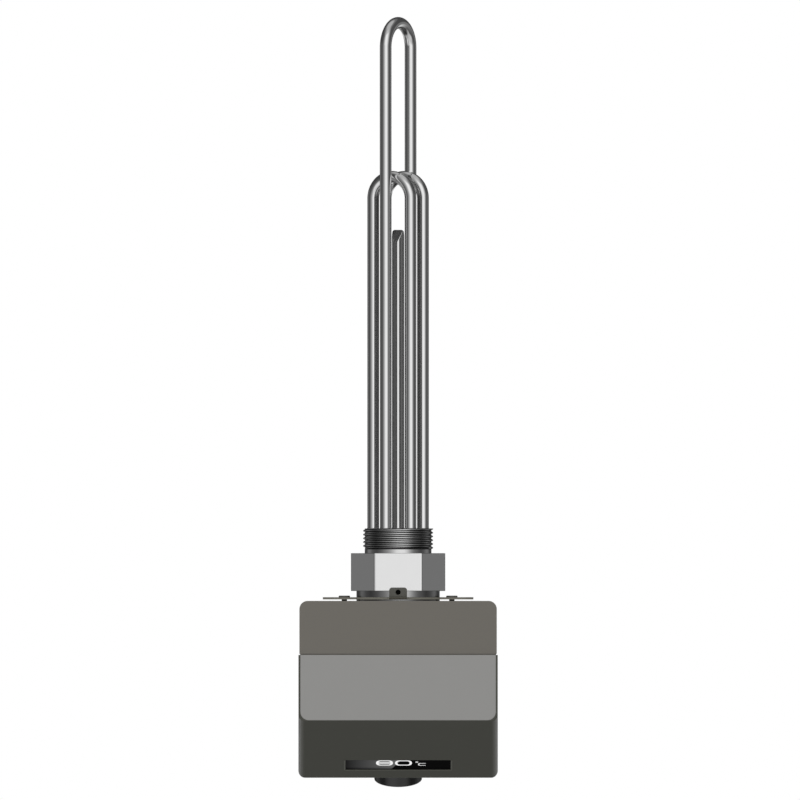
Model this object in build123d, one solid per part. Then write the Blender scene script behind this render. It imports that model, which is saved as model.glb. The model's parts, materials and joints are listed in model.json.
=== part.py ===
"""Screw plug immersion heater with a control box, in millimetres.

+Z runs along the heating elements, away from the box. The origin is on the plug's
axis, at the face of the hexagon that seals against the tank. -Y is the upper side
of the box when the heater is screwed into the side of a tank: the light panel lies
there, the display looks up and out, and the knob is on the face below the ridge.
"""

import math
import os

from build123d import *

# Fits between pieces
BRAZE_GAP = 0.02
SLIP_GAP = 0.05
HOLE_GAP = 0.15
HEX_SIDES = 6

# Screw plug: pipe thread G 1 1/2, drawn as its outside cylinder
THREAD_DIA = 47.803
THREAD_LENGTH = 14.3
NECK_LENGTH = 2.6
NECK_DEPTH = 0.85
HEX_ACROSS_FLATS = 56.0
HEX_HEIGHT = 25.8
COLLAR_STEP = 3.45
COLLAR_HEIGHT = 4.25
TUBE_SHEET_BELOW_FACE = 3.0
CAVITY_CLEARANCE = 0.6
SPIGOT_WALL = 3.4
SPIGOT_BEYOND_NUT = 2.0

# Heating elements and the pocket between them
TUBE_DIA = 8.0
TUBE_TO_THREAD = 2.9
LONG_REACH = 366.2
SHORT_REACH = 261.1
LEG_COUNT = 6
FOOT_BEYOND_SPIGOT = 5.0
BUSH_DIA = 5.2
BUSH_SEAT_DEPTH = 6.0
BUSH_FLANGE_DIA = 7.0
BUSH_FLANGE_HEIGHT = 2.0
PIN_DIA = 3.0
PIN_BEYOND_BUSH = 12.0
POCKET_DIA = 8.4
POCKET_WALL = 0.7
POCKET_REACH = 220.8
POCKET_PINCH_LENGTH = 8.1
POCKET_PINCH_EDGE = 0.85
POCKET_PINCH_TURN = -35.0
POCKET_TIP_CORNER = 1.6
PROBE_DIA = 3.0
PROBE_LENGTH = 60.0
BULB_DIA = 3.4
BULB_LENGTH = 90.0
PROBE_SHORT_OF_TIP = 12.0

# Mounting plate, its two screws and the seal under it
PLATE_THICKNESS = 1.5
PLATE_RIM = 2.0
PLATE_LENGTH = 102.8
PLATE_ARM_WIDTH = 20.0
PLATE_SCREW_SPACING = 73.4
PLATE_SCREW_DIA = 3.7
PLATE_SCREW_HEAD_DIA = 7.8
PLATE_SCREW_HEAD_HEIGHT = 1.1
PLATE_SCREW_BEYOND_WALL = 3.0
TAB_WIDTH = 12.2
TAB_HEIGHT = 6.6
TAB_CORNER = 2.0
TAB_BEND = 0.8
TAB_HOLE_DIA = 3.55
TAB_HOLE_BELOW_TOP = 3.15
SEAL_THICKNESS = 1.02
LOCK_NUT_HEIGHT = 6.0
LOCK_NUT_RIM = 6.0

# Rear housing
HOUSING_WIDTH = 134.8
HOUSING_DEPTH = 134.8
HOUSING_HEIGHT = 36.9
HOUSING_WALL = 3.0
HOUSING_REAR_CORNER = 5.6
EDGE_BREAK = 0.5
HOUSING_EDGE_ROUND = 0.8
SHADOW_GAP_HEIGHT = 0.7
SHADOW_GAP_DEPTH = 0.5

# Front cover: straight part under the panel, display face, ridge, knob face
COVER_STEP = 0.65
COVER_TOP_LENGTH = 45.15
DISPLAY_SLOPE = 30.0
DISPLAY_DROP = 38.8
KNOB_SLOPE = 19.5
COVER_WALL = 3.0
COVER_SIDE_ROUND = 4.5
COVER_EDGE_ROUND = 0.6
PANEL_SIDE_RIM = 1.25
PANEL_FRONT_RIM = 0.5
PANEL_THICKNESS = 1.7
PANEL_RECESS = 1.5
PANEL_CORNER = 5.8
PANEL_EDGE_ROUND = 0.3

# Screws and posts that hold the box together
COVER_SCREW_INSET = 9.4
COVER_SCREW_DIA = 3.2
COVER_SCREW_HEAD_DIA = 6.6
COVER_SCREW_HEAD_HEIGHT = 3.0
COVER_SCREW_GRIP = 10.0
PILLAR_DIA = 10.0
COVER_BOSS_HEIGHT = 15.0
SEAL_GROOVE_WIDTH = 1.2
SEAL_GROOVE_DEPTH = 1.3

# Display
WINDOW_WIDTH = 71.6
WINDOW_HEIGHT = 13.0
WINDOW_TO_RIDGE = 17.6
WINDOW_BELOW_FACE = 0.3
WINDOW_FLANGE = 2.0
WINDOW_FLANGE_THICKNESS = 1.0
MODULE_THICKNESS = 3.5
MODULE_MARGIN = 0.8
DISPLAY_BOARD_WIDTH = 90.0
DISPLAY_BOARD_HEIGHT = 34.0
DISPLAY_BOARD_SHIFT = 3.0
BOARD_THICKNESS = 1.6
DISPLAY_POST_DIA = 5.6
DISPLAY_POST_INSET = 3.5
SMALL_SCREW_DIA = 2.5
SMALL_SCREW_HEAD_DIA = 4.6
SMALL_SCREW_HEAD_HEIGHT = 1.8
SMALL_SCREW_GRIP = 4.0

# Knob and the encoder behind it
KNOB_DIA = 32.6
KNOB_HEIGHT = 12.9
KNOB_STAND_OFF = 1.2
KNOB_WALL = 2.2
KNOB_END = 2.4
KNOB_EDGE = 0.9
KNOB_DISH_DEPTH = 0.7
KNOB_HUB_DIA = 11.0
KNOB_HUB_SHORT = 4.6
SHAFT_DIA = 6.0
SHAFT_FLAT = 2.4
PRESS_TRAVEL = 0.6
ROTOR_DIA = 8.8
BUSHING_DIA = 11.0
BUSHING_PROUD = 4.4
ENCODER_WIDTH = 14.0
ENCODER_HEIGHT = 8.0
ENCODER_NUT_RIM = 2.6
ENCODER_NUT_HEIGHT = 2.0
ENCODER_BOARD_SIZE = 26.0
SHAFT_IN_HUB = 5.0
SHAFT_IN_BODY = 5.0

# Power board and what stands on it
POWER_BOARD_WIDTH = 104.0
POWER_BOARD_DEPTH = 98.0
POWER_BOARD_BEYOND_PINS = 8.0
BOARD_POST_DIA = 8.0
BOARD_POST_INSET = 5.0
RELAY_SIZE = (19.0, 15.5, 15.5)
RELAY_COUNT = 3
RELAY_SPACING = 24.0
RELAY_ROW_Y = -30.0
TRANSFORMER_SIZE = (32.0, 28.0, 22.0)
TRANSFORMER_PLACE = (-26.0, 4.0)
CAPACITOR_DIA = 10.0
CAPACITOR_HEIGHT = 16.0
CAPACITOR_SPACING = 14.0
CAPACITOR_PLACE = (12.0, 4.0)
FUSE_SIZE = (8.0, 24.0, 9.0)
FUSE_PLACE = (36.0, 4.0)
TERMINAL_SIZE = (60.0, 12.0, 14.0)
TERMINAL_ROW_Y = 36.0
TERMINAL_WAYS = 6
TERMINAL_SCREW_DIA = 5.0
TERMINAL_SCREW_DEPTH = 3.0

# Safety limiter on the underside wall
LIMITER_X = -30.0
LIMITER_DIA = 24.0
LIMITER_DEPTH = 16.0
LIMITER_NECK_DIA = 9.0
LIMITER_NECK_PROUD = 2.0
BUTTON_DIA = 5.0
BUTTON_BELOW_NECK = 0.6
BUTTON_LENGTH = 14.0
BUTTON_TRAVEL = 1.5
LIMITER_CAP_DIA = 15.0
LIMITER_CAP_HEIGHT = 5.0
LIMITER_CAP_SKIRT = 3.0

# Cable gland on the underside wall, metric size 20
GLAND_X = 30.0
GLAND_THREAD_DIA = 20.0
GLAND_BORE_DIA = 13.0
GLAND_INSIDE = 8.0
GLAND_HEX = 24.0
GLAND_HEX_HEIGHT = 5.0
GLAND_NECK_DIA = 18.0
GLAND_NECK_HEIGHT = 8.0
GLAND_NUT_HEIGHT = 5.0
GLAND_CAP_WALL = 2.5
GLAND_CAP_HEX_HEIGHT = 7.0
GLAND_CAP_DOME = 4.0
GLAND_CAP_HOLE_DIA = 13.4
GLAND_SEAL_BORE_DIA = 11.0
GLAND_SEAL_LENGTH = 9.0

# Sizes that follow for the plug, from the tank side down to the spigot's end
TUBE_R = TUBE_DIA / 2
LEG_CIRCLE_R = THREAD_DIA / 2 - TUBE_TO_THREAD - TUBE_R
CAVITY_R = LEG_CIRCLE_R + TUBE_R + CAVITY_CLEARANCE
SPIGOT_R = CAVITY_R + SPIGOT_WALL
COLLAR_R = SPIGOT_R + COLLAR_STEP
THREAD_TOP = NECK_LENGTH + THREAD_LENGTH
COLLAR_BOTTOM = -HEX_HEIGHT - COLLAR_HEIGHT
PLATE_BOTTOM = COLLAR_BOTTOM - PLATE_THICKNESS
HOUSING_REAR = PLATE_BOTTOM - SEAL_THICKNESS
HOUSING_FLOOR = HOUSING_REAR - HOUSING_WALL
NUT_BOTTOM = HOUSING_FLOOR - LOCK_NUT_HEIGHT
SPIGOT_END = NUT_BOTTOM - SPIGOT_BEYOND_NUT
FOOT_Z = SPIGOT_END - FOOT_BEYOND_SPIGOT
BUSH_END = FOOT_Z - BUSH_FLANGE_HEIGHT
PIN_END = BUSH_END - PIN_BEYOND_BUSH

# Sizes that follow for the box
HALF_WIDTH = HOUSING_WIDTH / 2
HALF_DEPTH = HOUSING_DEPTH / 2
RIM_Z = HOUSING_REAR - HOUSING_HEIGHT
COVER_HALF_WIDTH = HALF_WIDTH + COVER_STEP
COVER_HALF_DEPTH = HALF_DEPTH + COVER_STEP
DISPLAY_TOP_Z = RIM_Z - COVER_TOP_LENGTH
RIDGE_Z = DISPLAY_TOP_Z - DISPLAY_DROP
RIDGE_Y = DISPLAY_DROP / math.tan(math.radians(DISPLAY_SLOPE)) - COVER_HALF_DEPTH
KNOB_FACE_END_Z = RIDGE_Z + (COVER_HALF_DEPTH - RIDGE_Y) * math.tan(math.radians(KNOB_SLOPE))
PLATE_RING_R = COLLAR_R + PLATE_RIM
BOARD_Z = PIN_END - POWER_BOARD_BEYOND_PINS
UNDERSIDE_Z = (HOUSING_FLOOR + RIM_Z) / 2

# The two working faces, each with X to the right and its outside along local Z
DISPLAY_NORMAL = (0, -math.sin(math.radians(DISPLAY_SLOPE)), -math.cos(math.radians(DISPLAY_SLOPE)))
DISPLAY_UP = (0, -math.cos(math.radians(DISPLAY_SLOPE)), math.sin(math.radians(DISPLAY_SLOPE)))
RIDGE_POINT = Vector(0, RIDGE_Y, RIDGE_Z)
DISPLAY_FACE = Plane(RIDGE_POINT + Vector(*DISPLAY_UP) * WINDOW_TO_RIDGE, (1, 0, 0), DISPLAY_NORMAL)
KNOB_NORMAL = (0, math.sin(math.radians(KNOB_SLOPE)), -math.cos(math.radians(KNOB_SLOPE)))
KNOB_CENTRE = (0, (RIDGE_Y + COVER_HALF_DEPTH) / 2, (RIDGE_Z + KNOB_FACE_END_Z) / 2)
KNOB_FACE = Plane(KNOB_CENTRE, (1, 0, 0), KNOB_NORMAL)

# The underside wall's outer face, with its outside along local Z
UNDERSIDE = Plane((0, HALF_DEPTH, UNDERSIDE_Z), (1, 0, 0), (0, 1, 0))


def disc(diameter, low, high):
    """A cylinder about local Z, from low to high."""
    low_end = (Align.CENTER, Align.CENTER, Align.MIN)
    return Pos(0, 0, low) * Cylinder(diameter / 2, high - low, align=low_end)


def ring(outer_dia, inner_dia, low, high):
    """A flat ring or a sleeve about local Z."""
    margin = high - low
    return disc(outer_dia, low, high) - disc(inner_dia, low - margin, high + margin)


def hex_bar(across_flats, low, high):
    """A hexagonal bar about local Z, with two of its corners on X."""
    outline = RegularPolygon(across_flats / 2, HEX_SIDES, major_radius=False)
    return Pos(0, 0, low) * extrude(outline, high - low)


def slab(width, depth, low, high):
    """A rectangular block about local Z, from low to high."""
    low_end = (Align.CENTER, Align.CENTER, Align.MIN)
    return Pos(0, 0, low) * Box(width, depth, high - low, align=low_end)


def corners(half_x, half_y):
    """The four corners of a rectangle, for screws and posts."""
    return [(sx * half_x, sy * half_y) for sx in (-1, 1) for sy in (-1, 1)]


def corner_pillar(x, y, half_x, half_y, low, high):
    """A round pillar at x, y that is filled out to the two walls of its corner."""
    pillar = Pos(x, y, 0) * disc(PILLAR_DIA, low, high)
    to_wall_x = half_x - abs(x)
    to_wall_y = half_y - abs(y)
    round_x = Pos(x + math.copysign(to_wall_x / 2, x), y, 0)
    round_y = Pos(x, y + math.copysign(to_wall_y / 2, y), 0)
    pillar += round_x * slab(to_wall_x, PILLAR_DIA, low, high)
    pillar += round_y * slab(PILLAR_DIA, to_wall_y, low, high)
    return pillar


def corner_near(face, point):
    """The corner of a flat outline that lies nearest to a point."""
    return min(face.vertices(), key=lambda corner: (Vector(corner) - Vector(*point)).length)


def leg_point(place, z):
    """A point on the leg circle. Place counts sixths of a turn from +X towards the back."""
    angle = math.radians(360 / LEG_COUNT * place)
    return Vector(LEG_CIRCLE_R * math.cos(angle), LEG_CIRCLE_R * math.sin(angle), z)


# Screw plug
def make_screw_plug():
    plug = disc(THREAD_DIA, NECK_LENGTH, THREAD_TOP)
    plug += disc(THREAD_DIA - 2 * NECK_DEPTH, 0, NECK_LENGTH)
    plug += hex_bar(HEX_ACROSS_FLATS, -HEX_HEIGHT, 0)
    plug += disc(2 * COLLAR_R, COLLAR_BOTTOM, -HEX_HEIGHT)
    plug += disc(2 * SPIGOT_R, SPIGOT_END, COLLAR_BOTTOM)
    plug -= disc(2 * CAVITY_R, SPIGOT_END, -TUBE_SHEET_BELOW_FACE)
    hole = disc(TUBE_DIA + 2 * BRAZE_GAP, -TUBE_SHEET_BELOW_FACE, THREAD_TOP)
    for place in range(LEG_COUNT):
        plug -= Pos(leg_point(place, 0)) * hole
    plug -= disc(POCKET_DIA + 2 * BRAZE_GAP, -TUBE_SHEET_BELOW_FACE, THREAD_TOP)
    return plug


# Heating elements
def make_hairpin(place_a, place_b, reach):
    foot_a = leg_point(place_a, FOOT_Z)
    foot_b = leg_point(place_b, FOOT_Z)
    bend = (foot_a - foot_b).length / 2
    top = reach - TUBE_R - bend
    top_a = leg_point(place_a, top)
    top_b = leg_point(place_b, top)
    crown = (top_a + top_b) * 0.5 + Vector(0, 0, bend)
    path = Line(foot_a, top_a) + ThreePointArc(top_a, crown, top_b) + Line(top_b, foot_b)
    section = Plane(foot_a, (1, 0, 0), (0, 0, 1)) * Circle(TUBE_R)
    tube = sweep(section, path=path)
    seat = disc(BUSH_DIA + 2 * BRAZE_GAP, 0, BUSH_SEAT_DEPTH)
    for foot in (foot_a, foot_b):
        tube -= Pos(foot) * seat
    return tube


def make_terminal_bushes():
    bush = disc(BUSH_DIA, 0, BUSH_SEAT_DEPTH) + disc(BUSH_FLANGE_DIA, -BUSH_FLANGE_HEIGHT, 0)
    bush -= disc(PIN_DIA + 2 * BRAZE_GAP, -BUSH_FLANGE_HEIGHT, BUSH_SEAT_DEPTH)
    return [Pos(leg_point(place, FOOT_Z)) * bush for place in range(LEG_COUNT)]


def make_terminal_pins():
    pin = disc(PIN_DIA, PIN_END, FOOT_Z + BUSH_SEAT_DEPTH)
    return [Pos(leg_point(place, 0)) * pin for place in range(LEG_COUNT)]


# Sensor pocket and what sits in it
def make_sensor_pocket():
    half = POCKET_DIA / 2
    edge = POCKET_PINCH_EDGE / 2
    shoulder = POCKET_REACH - POCKET_PINCH_LENGTH
    chisel = [
        (-half, FOOT_Z),
        (half, FOOT_Z),
        (half, shoulder),
        (edge, POCKET_REACH),
        (-edge, POCKET_REACH),
        (-half, shoulder),
    ]
    wedge = extrude(Plane.YZ * make_face(Polyline(*chisel, close=True)), POCKET_DIA, both=True)
    front = slab(POCKET_DIA, POCKET_DIA, FOOT_Z, POCKET_REACH)
    front = fillet(front.edges().filter_by(Axis.Y).group_by(Axis.Z)[-1], POCKET_TIP_CORNER)
    tube = disc(POCKET_DIA, FOOT_Z, POCKET_REACH) & (Rot(0, 0, POCKET_PINCH_TURN) * (wedge & front))
    tube -= disc(POCKET_DIA - 2 * POCKET_WALL, FOOT_Z, shoulder - POCKET_WALL)
    return tube


def pocket_rod(diameter, length, side):
    """A round rod that lies against one side of the pocket's bore."""
    top = POCKET_REACH - PROBE_SHORT_OF_TIP
    shift = POCKET_DIA / 2 - POCKET_WALL - SLIP_GAP - diameter / 2
    return Pos(side * shift, 0, 0) * disc(diameter, top - length, top)


def make_sensor_probe():
    return pocket_rod(PROBE_DIA, PROBE_LENGTH, -1)


def make_limiter_bulb():
    return pocket_rod(BULB_DIA, BULB_LENGTH, 1)


# Mounting plate, screws, seal and lock nut
def make_mounting_plate():
    arm = SlotOverall(PLATE_LENGTH, PLATE_ARM_WIDTH)
    outline = Circle(PLATE_RING_R) + arm
    plate = Pos(0, 0, PLATE_BOTTOM) * extrude(outline, PLATE_THICKNESS)
    inner = PLATE_RING_R + TAB_BEND
    outer = inner + PLATE_THICKNESS
    tab_top = COLLAR_BOTTOM + TAB_HEIGHT
    angle_piece = [
        (0, PLATE_BOTTOM),
        (-outer, PLATE_BOTTOM),
        (-outer, tab_top),
        (-inner, tab_top),
        (-inner, COLLAR_BOTTOM),
        (0, COLLAR_BOTTOM),
    ]
    profile = make_face(Polyline(*angle_piece, close=True))
    profile = fillet(corner_near(profile, angle_piece[1]), TAB_BEND + PLATE_THICKNESS)
    profile = fillet(corner_near(profile, angle_piece[4]), TAB_BEND)
    tab = extrude(Plane.YZ * profile, TAB_WIDTH / 2, both=True)
    tab = fillet(tab.edges().filter_by(Axis.Y).group_by(Axis.Z)[-1], TAB_CORNER)
    hole = disc(TAB_HOLE_DIA, -2 * PLATE_THICKNESS, 2 * PLATE_THICKNESS)
    tab -= Pos(0, -inner, tab_top - TAB_HOLE_BELOW_TOP) * Rot(90, 0, 0) * hole
    plate += tab
    plate -= disc(2 * (SPIGOT_R + SLIP_GAP), PLATE_BOTTOM, COLLAR_BOTTOM)
    for side in (-1, 1):
        hole = disc(PLATE_SCREW_DIA + 2 * SLIP_GAP, PLATE_BOTTOM, COLLAR_BOTTOM)
        plate -= Pos(side * PLATE_SCREW_SPACING / 2, 0, 0) * hole
    return plate


def make_plate_screws():
    head = disc(PLATE_SCREW_HEAD_DIA, COLLAR_BOTTOM, COLLAR_BOTTOM + PLATE_SCREW_HEAD_HEIGHT)
    screw = head + disc(PLATE_SCREW_DIA, HOUSING_FLOOR - PLATE_SCREW_BEYOND_WALL, COLLAR_BOTTOM)
    return [Pos(side * PLATE_SCREW_SPACING / 2, 0, 0) * screw for side in (-1, 1)]


def make_plate_seal():
    return ring(2 * COLLAR_R, 2 * (SPIGOT_R + SLIP_GAP), HOUSING_REAR, PLATE_BOTTOM)


def make_lock_nut():
    nut = hex_bar(2 * (SPIGOT_R + LOCK_NUT_RIM), NUT_BOTTOM, HOUSING_FLOOR)
    nut = Rot(0, 0, 180 / HEX_SIDES) * nut
    return nut - disc(2 * (SPIGOT_R + SLIP_GAP), NUT_BOTTOM, HOUSING_FLOOR)


# Rear housing and its seal
def cover_screw_places():
    return corners(HALF_WIDTH - COVER_SCREW_INSET, HALF_DEPTH - COVER_SCREW_INSET)


def board_screw_places():
    half_x = POWER_BOARD_WIDTH / 2 - BOARD_POST_INSET
    half_y = POWER_BOARD_DEPTH / 2 - BOARD_POST_INSET
    return corners(half_x, half_y)


def make_rear_housing():
    outer = slab(HOUSING_WIDTH, HOUSING_DEPTH, RIM_Z, HOUSING_REAR)
    rear_edges = outer.edges().filter_by(Axis.Y).group_by(Axis.Z)[-1]
    outer = fillet(rear_edges, HOUSING_REAR_CORNER)
    for face in (outer.faces().sort_by(Axis.Y)[0], outer.faces().sort_by(Axis.Y)[-1]):
        outline = [edge for edge in face.edges() if edge.center().Z > RIM_Z + SLIP_GAP]
        outer = fillet(outline, HOUSING_EDGE_ROUND)
    inner_width = HOUSING_WIDTH - 2 * HOUSING_WALL
    inner_depth = HOUSING_DEPTH - 2 * HOUSING_WALL
    inner = slab(inner_width, inner_depth, RIM_Z, HOUSING_FLOOR)
    inner_edges = inner.edges().filter_by(Axis.Y).group_by(Axis.Z)[-1]
    inner = fillet(inner_edges, HOUSING_REAR_CORNER - HOUSING_WALL)
    housing = outer - inner
    wall_x = HALF_WIDTH - HOUSING_WALL / 2
    wall_y = HALF_DEPTH - HOUSING_WALL / 2
    for x, y in cover_screw_places():
        housing += corner_pillar(x, y, wall_x, wall_y, RIM_Z, HOUSING_FLOOR)
    for x, y in board_screw_places():
        housing += Pos(x, y, 0) * disc(BOARD_POST_DIA, BOARD_Z, HOUSING_FLOOR)
        pilot = disc(SMALL_SCREW_DIA + 2 * BRAZE_GAP, BOARD_Z, BOARD_Z + SMALL_SCREW_GRIP)
        housing -= Pos(x, y, 0) * pilot
    for x, y in cover_screw_places():
        head_seat = HOUSING_REAR - COVER_SCREW_HEAD_HEIGHT
        head = disc(COVER_SCREW_HEAD_DIA + 2 * HOLE_GAP, head_seat, HOUSING_REAR)
        shank = disc(COVER_SCREW_DIA + 2 * SLIP_GAP, RIM_Z, HOUSING_REAR)
        housing -= Pos(x, y, 0) * (head + shank)
    housing -= disc(2 * (SPIGOT_R + SLIP_GAP), HOUSING_FLOOR, HOUSING_REAR)
    for side in (-1, 1):
        hole = disc(PLATE_SCREW_DIA + 2 * SLIP_GAP, HOUSING_FLOOR, HOUSING_REAR)
        housing -= Pos(side * PLATE_SCREW_SPACING / 2, 0, 0) * hole
    wall_hole = disc(GLAND_THREAD_DIA + 2 * SLIP_GAP, -HOUSING_WALL, 0)
    housing -= UNDERSIDE * Pos(GLAND_X, 0, 0) * wall_hole
    neck_hole = disc(LIMITER_NECK_DIA + 2 * SLIP_GAP, -HOUSING_WALL, 0)
    housing -= UNDERSIDE * Pos(LIMITER_X, 0, 0) * neck_hole
    housing -= rim_frame((HOUSING_WALL + SEAL_GROOVE_WIDTH) / 2, SEAL_GROOVE_WIDTH, SEAL_GROOVE_DEPTH)
    housing -= rim_frame(SHADOW_GAP_DEPTH, 2 * SHADOW_GAP_DEPTH, SHADOW_GAP_HEIGHT)
    return housing


def rim_frame(inner_inset, width, height):
    """A rectangular frame on the housing's rim, with its inner side that far inside the housing."""
    inside = slab(
        HOUSING_WIDTH - 2 * inner_inset,
        HOUSING_DEPTH - 2 * inner_inset,
        RIM_Z,
        RIM_Z + height,
    )
    outside = slab(
        HOUSING_WIDTH - 2 * inner_inset + 2 * width,
        HOUSING_DEPTH - 2 * inner_inset + 2 * width,
        RIM_Z,
        RIM_Z + height,
    )
    return outside - inside


def make_housing_seal():
    seal_width = SEAL_GROOVE_WIDTH - 2 * BRAZE_GAP
    return rim_frame((HOUSING_WALL + seal_width) / 2, seal_width, SEAL_GROOVE_DEPTH)


def make_cover_screws():
    head_seat = HOUSING_REAR - COVER_SCREW_HEAD_HEIGHT
    screw = disc(COVER_SCREW_HEAD_DIA, head_seat, HOUSING_REAR - SLIP_GAP)
    screw += disc(COVER_SCREW_DIA, RIM_Z - COVER_SCREW_GRIP, head_seat)
    return [Pos(x, y, 0) * screw for x, y in cover_screw_places()]


# Front cover: a prow whose side profile is drawn in the Y-Z plane
def prow(half_width, inset, rear_z, side_round):
    """The prow's solid, moved in by inset from its outside faces and open at rear_z."""
    outline = [
        (-COVER_HALF_DEPTH, rear_z + inset),
        (-COVER_HALF_DEPTH, DISPLAY_TOP_Z),
        (RIDGE_Y, RIDGE_Z),
        (COVER_HALF_DEPTH, KNOB_FACE_END_Z),
        (COVER_HALF_DEPTH, rear_z + inset),
    ]
    side = make_face(Polyline(*outline, close=True))
    if inset > 0:
        side = offset(side, -inset, kind=Kind.INTERSECTION)
    solid = extrude(Plane.YZ * side, half_width, both=True)
    working_faces = solid.faces().sort_by(Axis.Z)[:2]
    side_edges = [
        edge
        for edge in solid.edges()
        if abs(abs(edge.center().X) - half_width) < SLIP_GAP
        and any(abs((edge.center() - face.center()).dot(face.normal_at())) < SLIP_GAP
                for face in working_faces)
    ]
    return fillet(side_edges, side_round)


def make_front_cover():
    cover = prow(COVER_HALF_WIDTH, 0, RIM_Z, COVER_SIDE_ROUND)
    across = [e for e in cover.edges().filter_by(Axis.X) if e.center().Z < DISPLAY_TOP_Z + SLIP_GAP]
    cover = fillet(cover.edges().filter_by(Axis.Z) + across, COVER_EDGE_ROUND)
    inner_round = COVER_SIDE_ROUND - COVER_WALL
    cavity = prow(COVER_HALF_WIDTH - COVER_WALL, COVER_WALL, RIM_Z, inner_round)
    bosses = []
    wall_x = COVER_HALF_WIDTH - COVER_WALL / 2
    wall_y = COVER_HALF_DEPTH - COVER_WALL / 2
    for x, y in cover_screw_places():
        bosses.append(corner_pillar(x, y, wall_x, wall_y, RIM_Z - COVER_BOSS_HEIGHT, RIM_Z))
    post_length = MODULE_THICKNESS + WINDOW_FLANGE_THICKNESS
    for x, y in display_post_places():
        post = disc(DISPLAY_POST_DIA, -COVER_WALL - post_length, -COVER_WALL / 2)
        bosses.append(DISPLAY_FACE * Pos(x, y, 0) * post)
    envelope = cover
    cover = cover - cavity
    for boss in bosses:
        cover += boss & envelope
    for x, y in cover_screw_places():
        pilot = disc(COVER_SCREW_DIA + 2 * BRAZE_GAP, RIM_Z - COVER_SCREW_GRIP, RIM_Z)
        cover -= Pos(x, y, 0) * pilot
    for x, y in display_post_places():
        foot = -COVER_WALL - post_length
        pilot = disc(SMALL_SCREW_DIA + 2 * BRAZE_GAP, foot, foot + SMALL_SCREW_GRIP)
        cover -= DISPLAY_FACE * Pos(x, y, 0) * pilot
    cover -= panel_form(SLIP_GAP, PANEL_RECESS, PANEL_RECESS)
    window = slab(WINDOW_WIDTH + 2 * SLIP_GAP, WINDOW_HEIGHT + 2 * SLIP_GAP, -COVER_WALL, 0)
    cover -= DISPLAY_FACE * window
    cover -= KNOB_FACE * disc(BUSHING_DIA + 2 * SLIP_GAP, -COVER_WALL, 0)
    return cover


# Top panel, let into the cover's upper side
def panel_form(gap, thickness, depth):
    """The panel's outline grown by a gap, from its seat at depth outwards by thickness."""
    half_width = COVER_HALF_WIDTH - PANEL_SIDE_RIM + gap
    front_z = DISPLAY_TOP_Z + PANEL_FRONT_RIM - gap
    length = RIM_Z - front_z
    seat_y = -COVER_HALF_DEPTH + depth
    low_end = (Align.CENTER, Align.MAX, Align.MIN)
    form = Pos(0, seat_y, front_z) * Box(2 * half_width, thickness, length, align=low_end)
    front_corners = form.edges().filter_by(Axis.Y).group_by(Axis.Z)[0]
    return fillet(front_corners, PANEL_CORNER + gap)


def make_top_panel():
    panel = panel_form(0, PANEL_THICKNESS, PANEL_RECESS)
    return fillet(panel.faces().sort_by(Axis.Y)[0].edges(), PANEL_EDGE_ROUND)


# Display
def make_display_window():
    front = slab(WINDOW_WIDTH, WINDOW_HEIGHT, -COVER_WALL, -WINDOW_BELOW_FACE)
    flange_width = WINDOW_WIDTH + 2 * WINDOW_FLANGE
    flange_height = WINDOW_HEIGHT + 2 * WINDOW_FLANGE
    flange = slab(flange_width, flange_height, -COVER_WALL - WINDOW_FLANGE_THICKNESS, -COVER_WALL)
    return DISPLAY_FACE * (front + flange)


def make_display_module():
    high = -COVER_WALL - WINDOW_FLANGE_THICKNESS
    width = WINDOW_WIDTH - 2 * MODULE_MARGIN
    height = WINDOW_HEIGHT - 2 * MODULE_MARGIN
    return DISPLAY_FACE * slab(width, height, high - MODULE_THICKNESS, high)


def display_board_high():
    return -COVER_WALL - WINDOW_FLANGE_THICKNESS - MODULE_THICKNESS


def display_post_places():
    half_x = DISPLAY_BOARD_WIDTH / 2 - DISPLAY_POST_INSET
    half_y = DISPLAY_BOARD_HEIGHT / 2 - DISPLAY_POST_INSET
    return [(x, y + DISPLAY_BOARD_SHIFT) for x, y in corners(half_x, half_y)]


def make_display_board():
    high = display_board_high()
    board = slab(DISPLAY_BOARD_WIDTH, DISPLAY_BOARD_HEIGHT, high - BOARD_THICKNESS, high)
    board = Pos(0, DISPLAY_BOARD_SHIFT, 0) * board
    for x, y in display_post_places():
        hole = disc(SMALL_SCREW_DIA + 2 * SLIP_GAP, high - BOARD_THICKNESS, high)
        board -= Pos(x, y, 0) * hole
    return DISPLAY_FACE * board


def small_screw(seat):
    """A small screw whose head lies under seat and whose shank goes up through a board."""
    shank = disc(SMALL_SCREW_DIA, seat, seat + BOARD_THICKNESS + SMALL_SCREW_GRIP - SLIP_GAP)
    return shank + disc(SMALL_SCREW_HEAD_DIA, seat - SMALL_SCREW_HEAD_HEIGHT, seat)


def make_display_screws():
    screw = small_screw(display_board_high() - BOARD_THICKNESS)
    return [DISPLAY_FACE * Pos(x, y, 0) * screw for x, y in display_post_places()]


# Knob and encoder, drawn about the knob's axis with the cover's face at zero
def shaft_section(gap):
    """A round shaft with one flat, grown by a gap."""
    radius = SHAFT_DIA / 2 + gap
    flat = SHAFT_FLAT + gap
    keep = Pos(0, (flat - radius) / 2) * Rectangle(2 * radius, flat + radius)
    return Circle(radius) & keep


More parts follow.
